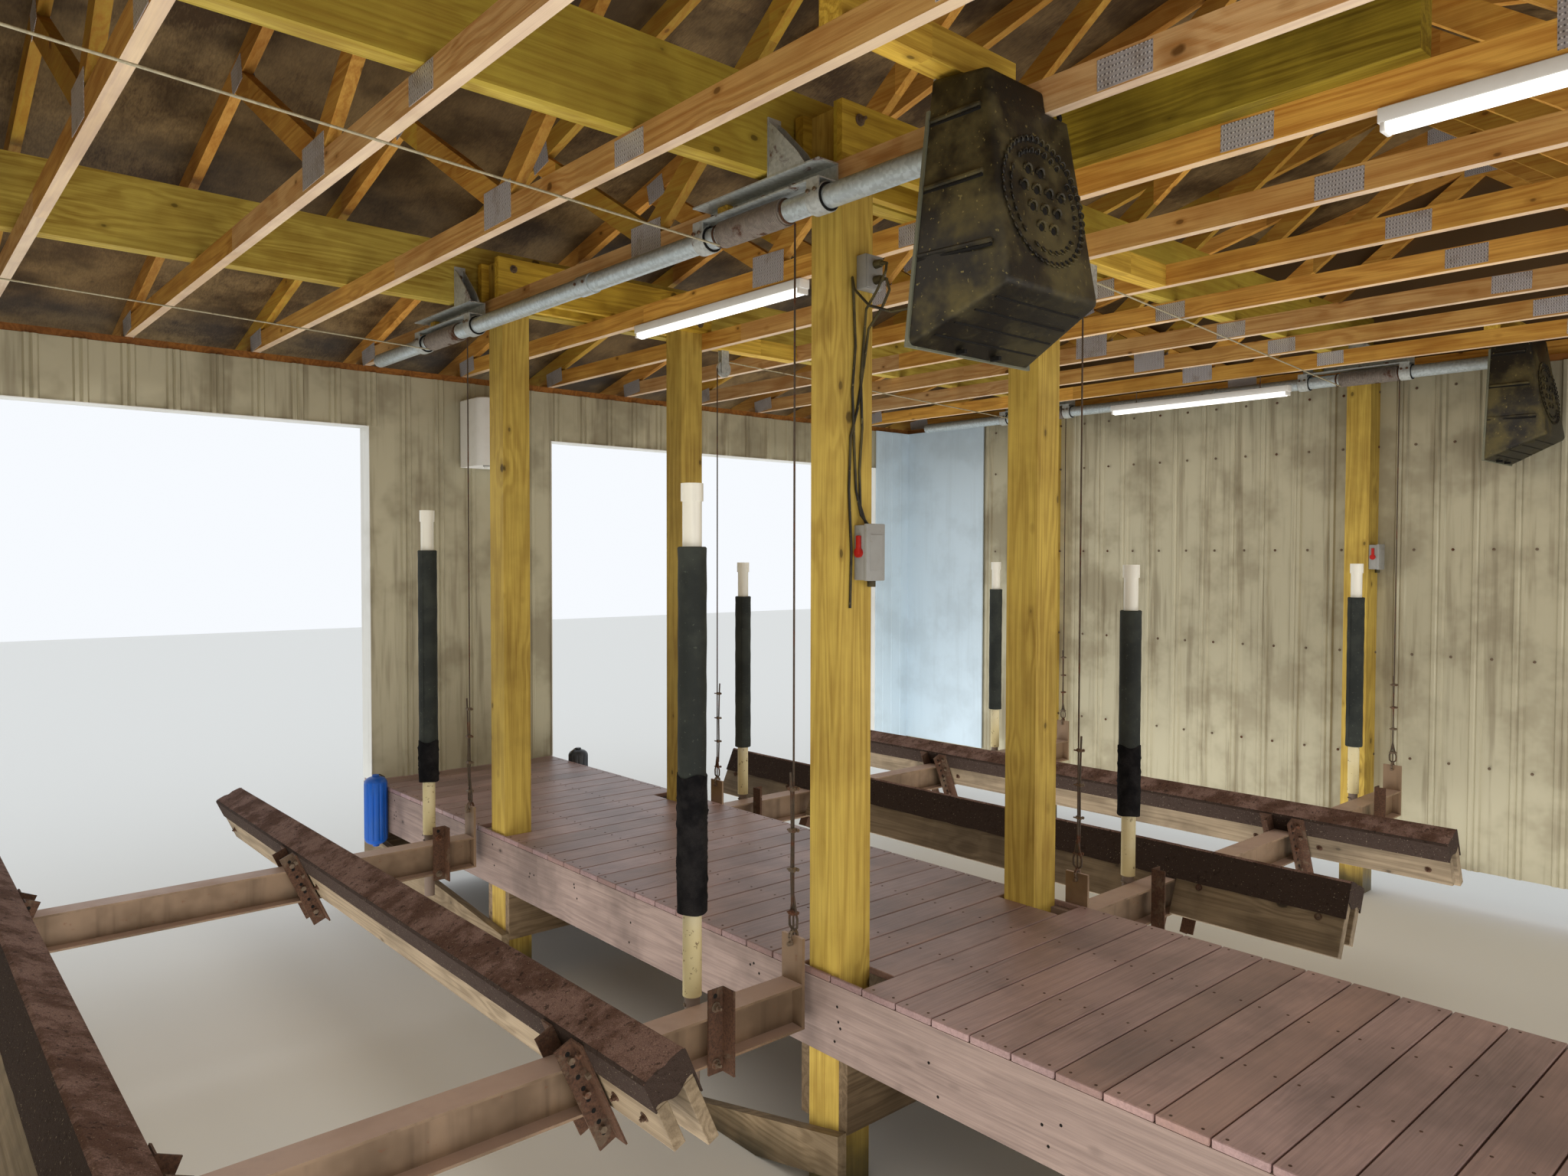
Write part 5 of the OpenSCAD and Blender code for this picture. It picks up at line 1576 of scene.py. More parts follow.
@dataclass
class Bunks(Fitter):
    """Pairs of planks on edge under a carpet, on one lift."""

    side: str
    middle: float
    near: float
    far: float
    ys: Span
    offset: float = 0.550
    top: float = 0.805
    tilt: float = 24.0
    width: float = 0.140
    plank: float = 0.038
    outer: float = 0.300
    inner: float = 0.235
    crown: float = 0.0955
    beam: float = 0.053
    end: float = 0.004
    bolts: float = -0.165

    def frame_at(self, side: int) -> Matrix:
        """Gives the frame of one bunk: X outwards and Z up along its tilt."""
        return place((self.middle + side * self.offset, 0, self.top),
                     spin_about("Y", -side * self.tilt) @ Matrix.Diagonal((side, 1, 1, 1)))

    def planks(self) -> None:
        """Stands the planks on edge, notched over the beams."""
        piece = self.piece(f"{self.side}_bunk_planks", "plank_timber", "rusty_steel", "bunk_carpet")
        spots = [self.frame_at(s) for s in (-1, 1)]
        edge = self.width / 2 - 0.006
        first, last = self.far + self.end, self.near - self.end
        cuts = segments(first, last, [(y - self.beam, y + self.beam) for y in sorted(self.ys)])
        for x, deep in ((edge - self.plank, self.outer), (-edge, self.inner)):
            wide = x + self.plank
            piece.add(block((x, first, -self.crown), (wide, last, -0.006), 0.002), 0, spots)
            for start, end in cuts:
                piece.add(block((x, start, -deep), (wide, end, -self.crown), 0.002), 0, spots)
        lap = self.width / 2 - 0.001
        for low, high in ((self.far, first), (last, self.near)):
            flap = block((-lap, low, -0.092), (lap, high, -0.006))
            level = [e for e in flap.edges if rise(e) < 1e-4 and e.calc_length() > 0.1]
            bmesh.ops.subdivide_edges(flap, edges=level, cuts=9)
            for v in flap.verts:
                if v.co.z < -0.05:
                    v.co.z += 0.010 * math.sin(v.co.x * 60 + low * 9)
            piece.add(flap, 2, spots)
        beside = [y + s * 0.16 for y in self.ys for s in (-1, 1)]
        for y in (self.near - 0.10, self.far + 0.10, *beside):
            reach = edge + 0.016
            piece.add(rod((-reach, y, self.bolts), (reach, y, self.bolts), 0.005, 8), 1, spots)
            for s in (-1, 1):
                piece.bolt((s * edge, y, self.bolts), (s, 0, 0),
                           ((0, 0.002, 0.015, 16), (0.002, 0.010, 0.009, 6)), 1, spots)
        piece.finish(f"{self.side}_cradle", "bunk_carpet", (f"{self.side}_bunks",))

    def carpet(self) -> None:
        """Lays the carpet over both planks, lapped down their sides."""
        edge = self.width / 2
        laps = (0.100, 0.150)
        pick = random.Random(23 if self.side == "left" else 29)
        steps = 60
        for s in (-1, 1):
            shape = bmesh.new()
            across = [(-edge, -laps[0]), (-edge, -laps[0] * 0.5), (-edge, -0.012),
                      (-edge + 0.008, -0.002), (-0.022, 0.0), (0.0, -0.005), (0.022, 0.0),
                      (edge - 0.008, -0.002), (edge, -0.012), (edge, -laps[1] * 0.5),
                      (edge, -laps[1])]
            first = [shape.verts.new((x, self.far, z)) for x, z in across]
            edges = [shape.edges.new(pair) for pair in zip(first, first[1:])]
            current = edges
            length = self.near - self.far
            for _ in range(steps):
                out = bmesh.ops.extrude_edge_only(shape, edges=current)["geom"]
                verts = [g for g in out if isinstance(g, bmesh.types.BMVert)]
                current = [g for g in out if isinstance(g, bmesh.types.BMEdge)]
                current = [e for e in current if all(v in verts for v in e.verts)]
                bmesh.ops.translate(shape, vec=(0, length / steps, 0), verts=verts)
            for v in shape.verts:
                wave = math.sin(v.co.y * 23.0 + s) * 0.5 + pick.uniform(-0.5, 0.5)
                low = -v.co.z / max(laps)
                v.co.z += 0.006 * wave * max(0.0, low - 0.6)
                v.co.x -= math.copysign(0.0015 * abs(wave) * max(0.0, low - 0.2), v.co.x)
            bmesh.ops.recalc_face_normals(shape, faces=shape.faces)
            up = max(shape.faces, key=lambda f: f.calc_center_median().z)
            if up.normal.z < 0:
                bmesh.ops.reverse_faces(shape, faces=shape.faces)
            bmesh.ops.solidify(shape, geom=shape.faces, thickness=0.005)
            name = f"{self.side}_carpet_{'inner' if s < 0 else 'outer'}"
            piece = self.piece(name, "bunk_carpet")
            piece.add(shape, 0, [self.frame_at(s)])
            made = piece.finish(f"{self.side}_cradle", "bunk_carpet")

    def build(self) -> None:
        """Makes the bunks."""
        self.planks()
        self.carpet()


# ---------------- pipes and ropes


@dataclass
class DrivePipe(Fitter):
    """A lift's long pipe, with its sleeves, collars and two windings of wire rope."""

    side: str
    across: float
    ys: Span
    height: float = PIPE_HEIGHT
    radius: float = 0.0365
    wound: float = 0.330
    pitch: float = 0.00715
    start: float = 0.280
    end: float = -4.015

    def spin(self, outline: Sequence[Point], y: float) -> Shape:
        """Spins an outline about the pipe, from a place along it."""
        return lathe(outline, 32, place((self.across, y, self.height), spin_about("X", -90)))

    def ring(self, piece: Piece, y: float, length: float, radius: float, finish: int = 0) -> None:
        """Adds a sleeve round the pipe.

        Args:
            piece: The piece that takes it.
            y: Where it starts.
            length: Its length.
            radius: Its radius.
            finish: Which material it takes.
        """
        edge = min(0.002, length / 3)
        outline = [(self.radius - 0.002, 0), (radius - edge, 0), (radius, edge),
                   (radius, length - edge), (radius - edge, length), (self.radius - 0.002, length)]
        piece.add(self.spin(outline, y), finish)

    def build(self) -> None:
        """Makes the pipe with its windings."""
        piece = self.piece(f"{self.side}_pipe_with_windings", "galvanised", "wound_rope",
                           "rusty_steel")
        length = self.start - self.end
        inner = self.radius - 0.005
        outline = [(inner, 0.004), (self.radius - 0.002, 0), (self.radius, 0.002),
                   (self.radius, length), (inner, length), (inner, 0.004)]
        piece.add(self.spin(outline, self.end))
        for y in self.ys:
            first = y + 0.010 - self.wound
            turn = place((self.across, first + 0.004, self.height), spin_about("X", -90))
            turns = (self.wound - 0.008) / self.pitch
            piece.add(coil(0.0425, 0.0034, self.pitch, turns, 20, 6, turn), 1)
            self.ring(piece, first + 0.002, self.wound - 0.004, 0.0398, 1)
            for at in (first - 0.020, y + 0.010):
                self.ring(piece, at, 0.010, 0.0400, 2)
            for at in (first + 0.05, first + 0.16, first + 0.25):
                self.ring(piece, at, 0.006, 0.0458, 1)
            lug = block((self.across - 0.010, first + 0.20, self.height - 0.0455),
                        (self.across + 0.010, first + 0.225, self.height - 0.038), 0.002)
            piece.add(lug, 2)
        middle = sum(self.ys) / 2
        self.ring(piece, middle - 0.05, 0.10, 0.0415)
        for at in (middle - 0.03, middle + 0.03):
            piece.bolt((self.across, at, self.height), (1, 0, 0), ((-0.048, 0.048, 0.006, 6),), 2)
        piece.finish(f"{self.side}_pipe", "galvanised_steel", (f"{self.side}_drive_pipe",))


@dataclass
class HangerFittings(Fitter):
    """Collars, bolts, gussets and packing on the channels that carry the pipes."""

    name: str
    across: float
    starts: Span
    straps: Span = (-0.600, -2.940)
    height: float = PIPE_HEIGHT
    length: float = 0.640
    flange: float = 3.2465
    packing: float = 3.2950
    strap_foot: float = 3.301

    def build(self) -> None:
        """Makes the fittings of one pipe's two channels."""
        piece = self.piece(self.name, "weathered_zinc", "bolt_steel", "dark_gap", "blocking_timber")
        for start, strap in zip(self.starts, self.straps):
            for y in (start - self.length, start - 0.055):
                turn = place((self.across, y - 0.003, self.height), spin_about("X", -90))
                outline = [(0.0425, 0), (0.0455, 0), (0.0470, 0.002), (0.0470, 0.059),
                           (0.0455, 0.061), (0.0425, 0.061)]
                piece.add(lathe(outline, 32, turn))
                x, z = self.across + 0.0455, self.height + 0.016
                for dy in (0.012, 0.043):
                    piece.add(rod((x, y + dy, z), (x + 0.0065, y + dy, z + 0.002), 0.007, 6), 1)
                for dy in (-0.0045, 0.0575):
                    ring = lathe([(0.036, 0), (0.0440, 0), (0.0440, 0.004), (0.036, 0.004)], 28,
                                 place((self.across, y + dy, self.height), spin_about("X", -90)))
                    piece.add(ring, 2)
            for dy in (-0.13, -0.28, -0.42, -0.55):
                piece.bolt((self.across + 0.020, start + dy, self.flange), (0, 0, 1),
                           ((0, 0.0095, 0.010, 6),), 1)
            low = (self.across - 0.040, start - self.length + 0.070, self.flange - 0.002)
            piece.add(block(low, (low[0] + 0.028, low[1] + 0.055, self.packing), 0.002), 3)
            gusset = [(0, 0), (0.17, 0), (0.135, 0.045), (0.030, 0.150), (0, 0.175)]
            for x in (-0.006, 0.036):
                turn = place((self.across + x, strap + 0.0055, self.strap_foot),
                             Matrix(((0, 0, 1, 0), (1, 0, 0, 0), (0, 1, 0, 0), (0, 0, 0, 1))))
                piece.add(prism(gusset, 0.005, turn))
            for z in (3.36, 3.44):
                piece.bolt((self.across + 0.014, strap, z), (0, 1, 0),
                           ((0.005, 0.014, 0.010, 6),), 1)
        piece.finish("building", "galvanised_steel")


@dataclass
class CableEnds(Fitter):
    """The doubled rope ends of one lift: clips, thimbles and shackles on the lift plates."""

    side: str
    near_dock: float
    near_wall: float
    ys: Span
    plate: float = 0.840

    def one(self, piece: Piece, x: float, y: float, way: float) -> None:
        """Adds one rope end.

        Args:
            piece: The piece that takes it.
            x: The rope's place across.
            y: The rope's place along.
            way: The side that the tail lies on, 1 or -1.
        """
        z = self.plate
        loop = [(0.0, 0.13), (0.010, 0.085), (0.019, 0.055), (0.018, 0.028), (0.0, 0.014),
                (-0.018, 0.028), (-0.019, 0.055), (-0.010, 0.085), (-0.002, 0.13)]
        piece.run([(x, y + a, z + b) for a, b in loop], 0.0042, 8)
        bow = [(x + way * 0.016 * math.cos(a), y, z - 0.004 + 0.020 * math.sin(a))
               for a in (math.radians(k) for k in range(-90, 271, 30))]
        piece.run(bow, 0.006, 8, 1)
        piece.add(rod((x - 0.024, y, z - 0.026), (x + 0.024, y, z - 0.026), 0.008, 10,
                      bevel=0.002), 1)
        tail = [(0.008, 0.10), (0.011, 0.20), (0.009, 0.33), (0.012, 0.46), (0.016, 0.54)]
        piece.run([(x + way * a, y + 0.002, z + b) for a, b in tail], 0.0040, 8)
        for clip in (0.075, 0.218, 0.348, 0.485):
            piece.add(block((x - 0.009, y - 0.011, z + clip - 0.007),
                            (x + 0.009 + way * 0.008, y + 0.011, z + clip + 0.007), 0.003), 1)
            for dx in (-way * 0.005, way * 0.012):
                piece.bolt((x + dx, y, z + clip), (0, 1, 0),
                           ((-0.017, 0.020, 0.0032, 6), (0.011, 0.018, 0.0062, 6)), 1)

    def build(self) -> None:
        """Makes the four rope ends."""
        piece = self.piece(f"{self.side}_rope_ends", "wire_rope", "bolt_steel")
        for y in self.ys:
            self.one(piece, self.near_dock, y, math.copysign(1, self.near_dock))
            self.one(piece, self.near_wall, y, -math.copysign(1, self.near_wall))
        piece.finish(f"{self.side}_cradle", "wire_rope")


@dataclass
class DropRopes(Fitter):
    """The four ropes that one lift hangs by."""

    side: str
    near_dock: float
    near_wall: float
    ys: Span
    low: float = 0.8405
    tops: Span = (3.163, 3.1295)
    rope: float = 0.0035

    def build(self) -> None:
        """Makes the ropes, which stretch between the building and the cradle."""
        piece = self.piece(f"{self.side}_drop_ropes", "wire_rope")
        for x, top in ((self.near_dock, self.tops[0]), (self.near_wall, self.tops[1])):
            for y in self.ys:
                shape = rod((x, y, self.low), (x, y, top), self.rope, 8)
                upright = [e for e in shape.edges if e.calc_length() > 1]
                bmesh.ops.subdivide_edges(shape, edges=upright, cuts=24, use_grid_fill=True)
                piece.add(shape)
        made = piece.finish("", "wire_rope", (f"{self.side}_drop_cables",))
        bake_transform(made)


@dataclass
class CradleFittings(Fitter):
    """Bolts, welds and holes on one lift's beams, guide clamps and bunk irons."""

    side: str
    ys: Span
    clamps: tuple[Span, ...]
    bunks: Bunks
    low: float = 0.540
    high: float = 0.690
    flange: float = 0.0563
    iron: float = -0.1003
    parts: Rings = (
        (0, 0.003, 0.016, 16), (0.003, 0.014, 0.010, 6), (0.014, 0.026, 0.005, 8))

    def build(self) -> None:
        """Makes the fittings."""
        piece = self.piece(f"{self.side}_cradle_bolts", "rusty_steel", "dark_gap", "bolt_steel")
        for x, y in self.clamps:
            out = math.copysign(1, x)
            face = y + self.flange
            for z in (self.low + 0.006, self.high + 0.030):
                piece.bolt((x + out * 0.008, face, z), (0, 1, 0), self.parts, 2)
            # A near-black disc is painted shade for the hole in the clamp.
            hole = (x + out * 0.010, face + 0.0002, self.high + 0.064)
            piece.add(rod(hole, (hole[0], hole[1] + 0.0004, hole[2]), 0.008, 12), 1)
            for z in (self.low + 0.05, self.high - 0.004, self.high + 0.045):
                hoop = coil(0.0262, 0.0036, 0.0, 0.5, 20, 6,
                            place((x, y - GUIDE_SETBACK, z), spin_about("Z", 180)))
                piece.add(hoop, 2)
        for s in (-1, 1):
            turn = self.bunks.frame_at(s)
            for y in self.ys:
                for f in (-1, 1):
                    face = y + f * self.flange
                    for k in range(8):
                        piece.bolt((self.iron, face, -0.035 - 0.040 * k), (0, f, 0),
                                   ((0, 0.0005, 0.0075, 10),), 1, [turn])
                    for depth in (0.055, 0.175, 0.300):
                        piece.bolt((self.iron, face, -depth), (0, f, 0), ((0, 0.012, 0.011, 6),),
                                   2, [turn])
                    for depth in (0.045, 0.115):
                        piece.bolt((self.iron + 0.030, y + f * 0.082, -depth), (-1, 0, 0),
                                   ((0.006, 0.018, 0.010, 6),), 2, [turn])
        piece.finish(f"{self.side}_cradle", "rusty_steel")


@dataclass
class GuideSleeves(Fitter):
    """Foam sleeves on one lift's guide posts, with crumpled cloth round their feet."""

    side: str
    posts: tuple[Span, ...]
    high: float
    wraps: tuple[float, ...]
    low: float = 0.990
    bore: float = 0.0306
    skin: float = 0.0455
    cloth_radius: float = 0.0476

    def build(self) -> None:
        """Makes the sleeves and the wraps."""
        sleeves = self.piece(f"{self.side}_foam_sleeves", "foam_sleeve", "dark_gap")
        body = f"{self.side}_cradle"
        pick = random.Random(41 if self.side == "left" else 43)
        for number, (x, y) in enumerate(self.posts):
            height = self.high - self.low
            steps = 26
            bore, skin = self.bore, self.skin
            outline = [(bore, height - 0.004), (bore, 0.004), (skin - 0.003, 0.0), (skin, 0.003)]
            for k in range(1, steps):
                wave = 0.0006 * math.sin(k * 1.7) - 0.0004 * (k % 5 == 2)
                outline.append((skin + wave - 0.0006, height * k / steps))
            outline += [(skin, height - 0.004), (skin - 0.004, height), (bore, height - 0.004)]
            sleeve = lathe(outline, 28)
            for v in sleeve.verts:
                bend = 0.0009 * math.sin(v.co.z * 5.1 + number)
                v.co.x += bend * (v.co.z > 0.02) * (v.co.z < height - 0.02)
            sleeves.add(sleeve, 0, [place((x, y, self.low), spin_about("Z", 40 * number))])
            seam = block((-0.0006, skin - 0.0008, 0.006), (0.0006, skin + 0.0001, height - 0.006))
            sleeves.add(seam, 1, [place((x, y, self.low), spin_about("Z", 200 + 55 * number))])
            if self.wraps[number] > 0:
                self.cloth(number, pick)
        made = sleeves.finish(body, "black_foam", (f"{self.side}_guide_foam",))

    def cloth(self, number: int, pick: random.Random) -> None:
        """Ties a cloth round the foot of one sleeve.

        Args:
            number: Which post it is on.
            pick: Source of the creases.
        """
        x, y = self.posts[number]
        height = self.wraps[number]
        piece = self.piece(f"{self.side}_cloth_wrap_{number + 1}", "black_cloth")
        piece.add(self.wrap(height, pick), 0, [place((x, y, self.low - 0.012))])
        made = piece.finish(f"{self.side}_cradle", "black_foam", (), 60)

    def wrap(self, height: float, pick: random.Random) -> Shape:
        """Wraps cloth round a sleeve and crumples it.

        Args:
            height: How far up it reaches.
            pick: Source of the creases.

        Returns:
            The cloth, with a thickness.
        """
        shape = bmesh.new()
        rows, sides, radius = int(height / 0.009), 44, self.cloth_radius
        bmesh.ops.create_cone(shape, cap_ends=False, segments=sides, radius1=radius,
                              radius2=radius, depth=height, matrix=place((0, 0, height / 2)))
        upright = [e for e in shape.edges if rise(e) > 0.01]
        bmesh.ops.subdivide_edges(shape, edges=upright, cuts=rows, use_grid_fill=True)
        ranges = ((0, TURN), (0.02, height - 0.01), (-2.6, 2.6), (0.5, 1.2), (0.0022, 0.0048))
        creases = [[pick.uniform(*ends) for ends in ranges] for _ in range(int(height * 110))]
        for v in shape.verts:
            angle = math.atan2(v.co.y, v.co.x)
            push = 0.0006 * math.sin(angle * 5 + v.co.z * 60)
            for around, z, slope, span, deep in creases:
                turn = (angle - around + math.pi) % TURN - math.pi
                if abs(turn) < span:
                    off = (v.co.z - z - slope * 0.045 * turn) / 0.0080
                    if abs(off) < 3:
                        fade = math.cos(turn / span * math.pi / 2)
                        push += deep * fade * (1.0 - 0.9 * abs(off)) * math.exp(-off * off / 1.6)
            v.co.xy = v.co.xy * (1 + max(-0.0014, min(0.0090, push)) / radius)
            if v.co.z < 0.004 or v.co.z > height - 0.004:
                v.co.z += 0.006 * math.sin(angle * 3 + height * 9) * (1 if v.co.z > 0.1 else -0.3)
        bmesh.ops.recalc_face_normals(shape, faces=shape.faces)
        bmesh.ops.solidify(shape, geom=shape.faces, thickness=0.0012)
        return shape


# ---------------- on the walls and posts


@dataclass
class StripLights(Fitter):
    """Three strip lights: a folded metal back with a round milky diffuser."""

    spots: tuple[tuple[float, float, float], ...] = (
        (0.0, -2.450, 3.230), (0.0, 0.960, 3.230), (-3.696, -2.070, 3.150))
    tie: float = 3.230
    length: float = 1.220
    half: float = 0.028
    deep: float = 0.066
    back: float = 0.039

    def build(self) -> None:
        """Makes the lights."""
        piece = self.piece("strip_light_set", "white_enamel", "diffuser", "bolt_steel")
        for x, y, top in self.spots:
            piece.add(block((x - self.half, y, top - self.back),
                            (x + self.half, y + self.length, top), 0.003, 2))
            cap = self.half - 0.001
            for start in (y + 0.006, y + self.length - 0.018):
                piece.add(block((x - cap, start, top - self.deep + 0.004),
                                (x + cap, start + 0.012, top - self.back + 0.004), 0.003, 2))
            wide, drop = self.half - 0.002, self.deep - self.back
            outline = [(-wide, 0.002)] + [
                (-wide * math.cos(a), -drop * math.sin(a) ** 0.8)
                for a in (math.pi * k / 12 for k in range(13))] + [(wide, 0.002)]
            turn = place((x, y + self.length - 0.019, top - self.back), spin_about("X", 90))
            piece.add(prism(outline, self.length - 0.038, turn), 1)
            if top < self.tie:
                for share in (0.15, 0.85):
                    at = y + share * self.length
                    piece.add(rod((x, at, top), (x, at, self.tie), 0.003, 8), 2)
                    piece.add(rod((x, at, top), (x, at, top + 0.006), 0.008, 6), 2)
        piece.finish("building", "white_panel", ("strip_lights",), 50)


@dataclass
class WallHeater(Fitter):
    """A small enamelled heater on the front wall, open below with two fittings."""

    lift: float = 0.012
    corner: float = 0.065
    wall: float = 0.012
    recess: float = 0.030

    def build(self) -> None:
        """Makes the heater in the space of its CAD node."""
        low, high = corners("water_heater")
        piece = self.piece("heater_case", "white_enamel", "dark_gap", "grey_box")
        case = block(low + Vector((0, 0, self.lift)), high)
        upright = [e for e in case.edges if rise(e) > 0.1
                   and e.verts[0].co.y > (low.y + high.y) / 2]
        soften(case, upright, self.corner, 8)
        rims = [e for e in case.edges if rise(e) < 0.001 and e.verts[0].co.z > high.z - 0.01]
        soften(case, rims, 0.008, 3)
        bottom = [f for f in case.faces if f.normal.z < -0.9]
        bmesh.ops.inset_region(case, faces=bottom, thickness=self.wall)
        bmesh.ops.translate(case, vec=(0, 0, self.recess),
                            verts=list({v for f in case.faces if f.normal.z < -0.9
                                        and f.calc_area() > 0.02 for v in f.verts}))
        piece.add(case)
        middle = (low.x + high.x) / 2
        under = low.z + self.recess
        for x in (middle - 0.07, middle + 0.07):
            y = high.y - 0.10
            piece.add(rod((x, y, under + 0.015), (x, y, low.z), 0.020, 20, bevel=0.003))
            piece.add(rod((x, y, low.z + 0.012), (x, y, low.z + 0.022), 0.026, 6), 2)
        for z in (low.z + 0.070, high.z - 0.050):
            piece.add(block((low.x + 0.070, high.y - 0.0006, z),
                            (high.x - 0.070, high.y + 0.0004, z + 0.002)), 2)
        piece.add(lathe([(0.0001, 0.010), (0.016, 0.008), (0.018, 0)], 20,
                        place((middle, high.y - 0.001, low.z + 0.045), spin_about("X", -90))), 2)
        piece.finish("building", "white_panel", ("water_heater",))


@dataclass
class SwitchBoxes(Fitter):
    """The outlet box, its plugs, and the two boxes with a red lever."""

    outlet_box: tuple[Point, Point] = ((0.457, -0.404, 2.940), (0.532, -0.349, 3.050))
    lever_boxes: tuple[tuple[Point, Point], ...] = (
        ((0.457, -0.404, 2.010), (0.537, -0.344, 2.187)),
        ((-4.150, -0.514, 2.020), (-4.060, -0.454, 2.170)))
    lead: float = 0.0045

    def outlet(self, piece: Piece) -> None:
        """Adds the outlet box near the top of a post, with two plugs in its face.

        Args:
            piece: The piece that takes it.
        """
        low, high = self.outlet_box
        piece.add(block(low, (high[0], high[1] - 0.012, high[2]), 0.004, 2))
        piece.add(block((low[0] + 0.003, high[1] - 0.0125, low[2] + 0.003),
                        (high[0] - 0.003, high[1] - 0.006, high[2] - 0.003), 0.002, 2))
        for z in (2.968, 3.018):
            at = (0.4945, high[1] - 0.006, z)
            piece.add(rod(at, (at[0], high[1] + 0.022, z), 0.0145, 16, 0.012, bevel=0.002), 2)
            piece.add(rod((at[0], high[1] + 0.020, z), (at[0], high[1] + 0.046, z - 0.006),
                          0.007, 10, 0.0045), 2)

    def lever_box(self, piece: Piece, low: Point, high: Point) -> None:
        """Adds a box with a hinged lid and a red lever at its +X side.

        Args:
            piece: The piece that takes it.
            low: Its lowest corner.
            high: Its highest corner.
        """
        piece.add(block(low, (high[0], high[1] - 0.014, high[2]), 0.003, 2))
        lid = block((low[0] - 0.002, high[1] - 0.0145, low[2] - 0.002),
                    (high[0] + 0.002, high[1], high[2] + 0.004), 0.003, 2)
        piece.add(lid)
        piece.add(block((low[0] + 0.012, high[1] - 0.001, low[2] + 0.030),
                        (high[0] - 0.012, high[1] + 0.002, high[2] - 0.030), 0.002), 0)
        edge, z = high[0], (low[2] + high[2]) / 2
        piece.bolt((edge, low[1] + 0.025, z), (1, 0, 0), ((0, 0.010, 0.016, 16),), 1)
        piece.add(block((edge, low[1] + 0.018, z - 0.006),
                        (edge + 0.012, low[1] + 0.034, z + 0.055), 0.003, 2), 1)
        x, y = low[0] + 0.03, low[1] + 0.03
        piece.add(rod((x, y, low[2] - 0.022), (x, y, low[2]), 0.014, 14, bevel=0.002), 2)

    def leads(self, piece: Piece) -> None:
        """Staples three dark leads down the post, one from the motor and two from the plugs.

        Args:
            piece: The piece that takes them.
        """
        runs = (
            [(0.640, 0.183, 2.960), (0.640, 0.150, 2.900), (0.632, 0.060, 2.845),
             (0.618, -0.060, 2.815), (0.604, -0.180, 2.822), (0.590, -0.290, 2.862),
             (0.572, -0.372, 2.930), (0.556, -0.397, 2.975), (0.548, -0.398, 2.90),
             (0.540, -0.398, 2.76), (0.553, -0.398, 2.62), (0.545, -0.398, 2.45),
             (0.535, -0.398, 2.30), (0.520, -0.390, 2.22), (0.500, -0.375, 2.186)],
            [(0.4945, -0.306, 3.012), (0.505, -0.300, 2.985), (0.512, -0.330, 2.93),
             (0.505, -0.385, 2.88), (0.500, -0.398, 2.80), (0.515, -0.398, 2.66),
             (0.508, -0.398, 2.50), (0.520, -0.398, 2.36), (0.515, -0.398, 2.25),
             (0.505, -0.380, 2.186)],
            [(0.4945, -0.306, 2.962), (0.485, -0.302, 2.93), (0.480, -0.340, 2.88),
             (0.487, -0.392, 2.82), (0.498, -0.398, 2.72), (0.530, -0.398, 2.56),
             (0.560, -0.398, 2.47), (0.567, -0.398, 2.30), (0.555, -0.398, 2.10),
             (0.560, -0.398, 1.92)],
        )
        for run in runs:
            piece.run(run, self.lead, 8, 2)
            for bend in run[1:-1]:
                ball = bmesh.new()
                bmesh.ops.create_icosphere(ball, subdivisions=1, radius=self.lead,
                                           matrix=place(bend))
                piece.add(ball, 2)

    def build(self) -> None:
        """Makes the boxes."""
        piece = self.piece("switch_box_set", "grey_box", "red_lever", "black_cover")
        self.outlet(piece)
        for low, high in self.lever_boxes:
            self.lever_box(piece, low, high)
        self.leads(piece)
        piece.finish("building", "grey_box", ("switch_boxes",))


@dataclass
class DockFenders(Fitter):
    """Two ribbed vinyl fenders on the dock's far corners."""

    radius: float = 0.065
    neck: float = 0.020
    cap: float = 0.052

    def build(self) -> None:
        """Makes both fenders in the space of their CAD node."""
        low, high = corners("dock_fenders")
        height = high.z - low.z
        middle = (low.y + high.y) / 2
        for side, finish in ((1, "blue_vinyl"), (-1, "dark_vinyl")):
            x = high.x - self.radius if side > 0 else low.x + self.radius
            r, neck, cap = self.radius, self.neck, self.cap
            outline = [(0.0001, 0.0), (0.018, 0.0), (neck, 0.010)]
            outline += [(neck + (r - neck) * math.sin(a), cap - 0.040 * math.cos(a))
                        for a in (math.radians(15 * k) for k in range(1, 7))]
            outline += [(r, cap + (height - 2 * cap) * k / 6) for k in range(1, 7)]
            outline += [(neck + (r - neck) * math.cos(a), height - cap + 0.040 * math.sin(a))
                        for a in (math.radians(15 * k) for k in range(1, 6))]
            outline += [(neck, height - 0.010), (0.018, height), (0.0001, height)]
            shape = lathe(outline, 96)
            for v in shape.verts:
                if 0.045 < v.co.z < height - 0.045:
                    rib = math.cos(12 * math.atan2(v.co.y, v.co.x))
                    v.co.xy = v.co.xy * (1 - 0.0045 * max(0.0, rib) ** 2 / r - 0.0005)
            name = f"{'left' if side > 0 else 'right'}_dock_fender"
            piece = self.piece(name, finish, "dark_gap", "dirty_rope")
            piece.add(shape, 0, [place((x, middle, low.z))])
            for z in (low.z + 0.006, high.z - 0.006):
                piece.add(rod((x - 0.013, middle, z), (x + 0.013, middle, z), 0.004, 8), 1)
            points = [(x - side * inward, middle, high.z - drop) for inward, drop in
                      ((0.0, 0.010), (0.022, 0.002), (0.050, 0.020), (0.062, 0.060))]
            piece.run(points, 0.004, 8, 2)
            piece.finish("building", "fender_plastic", ("dock_fenders",) if side > 0 else ())


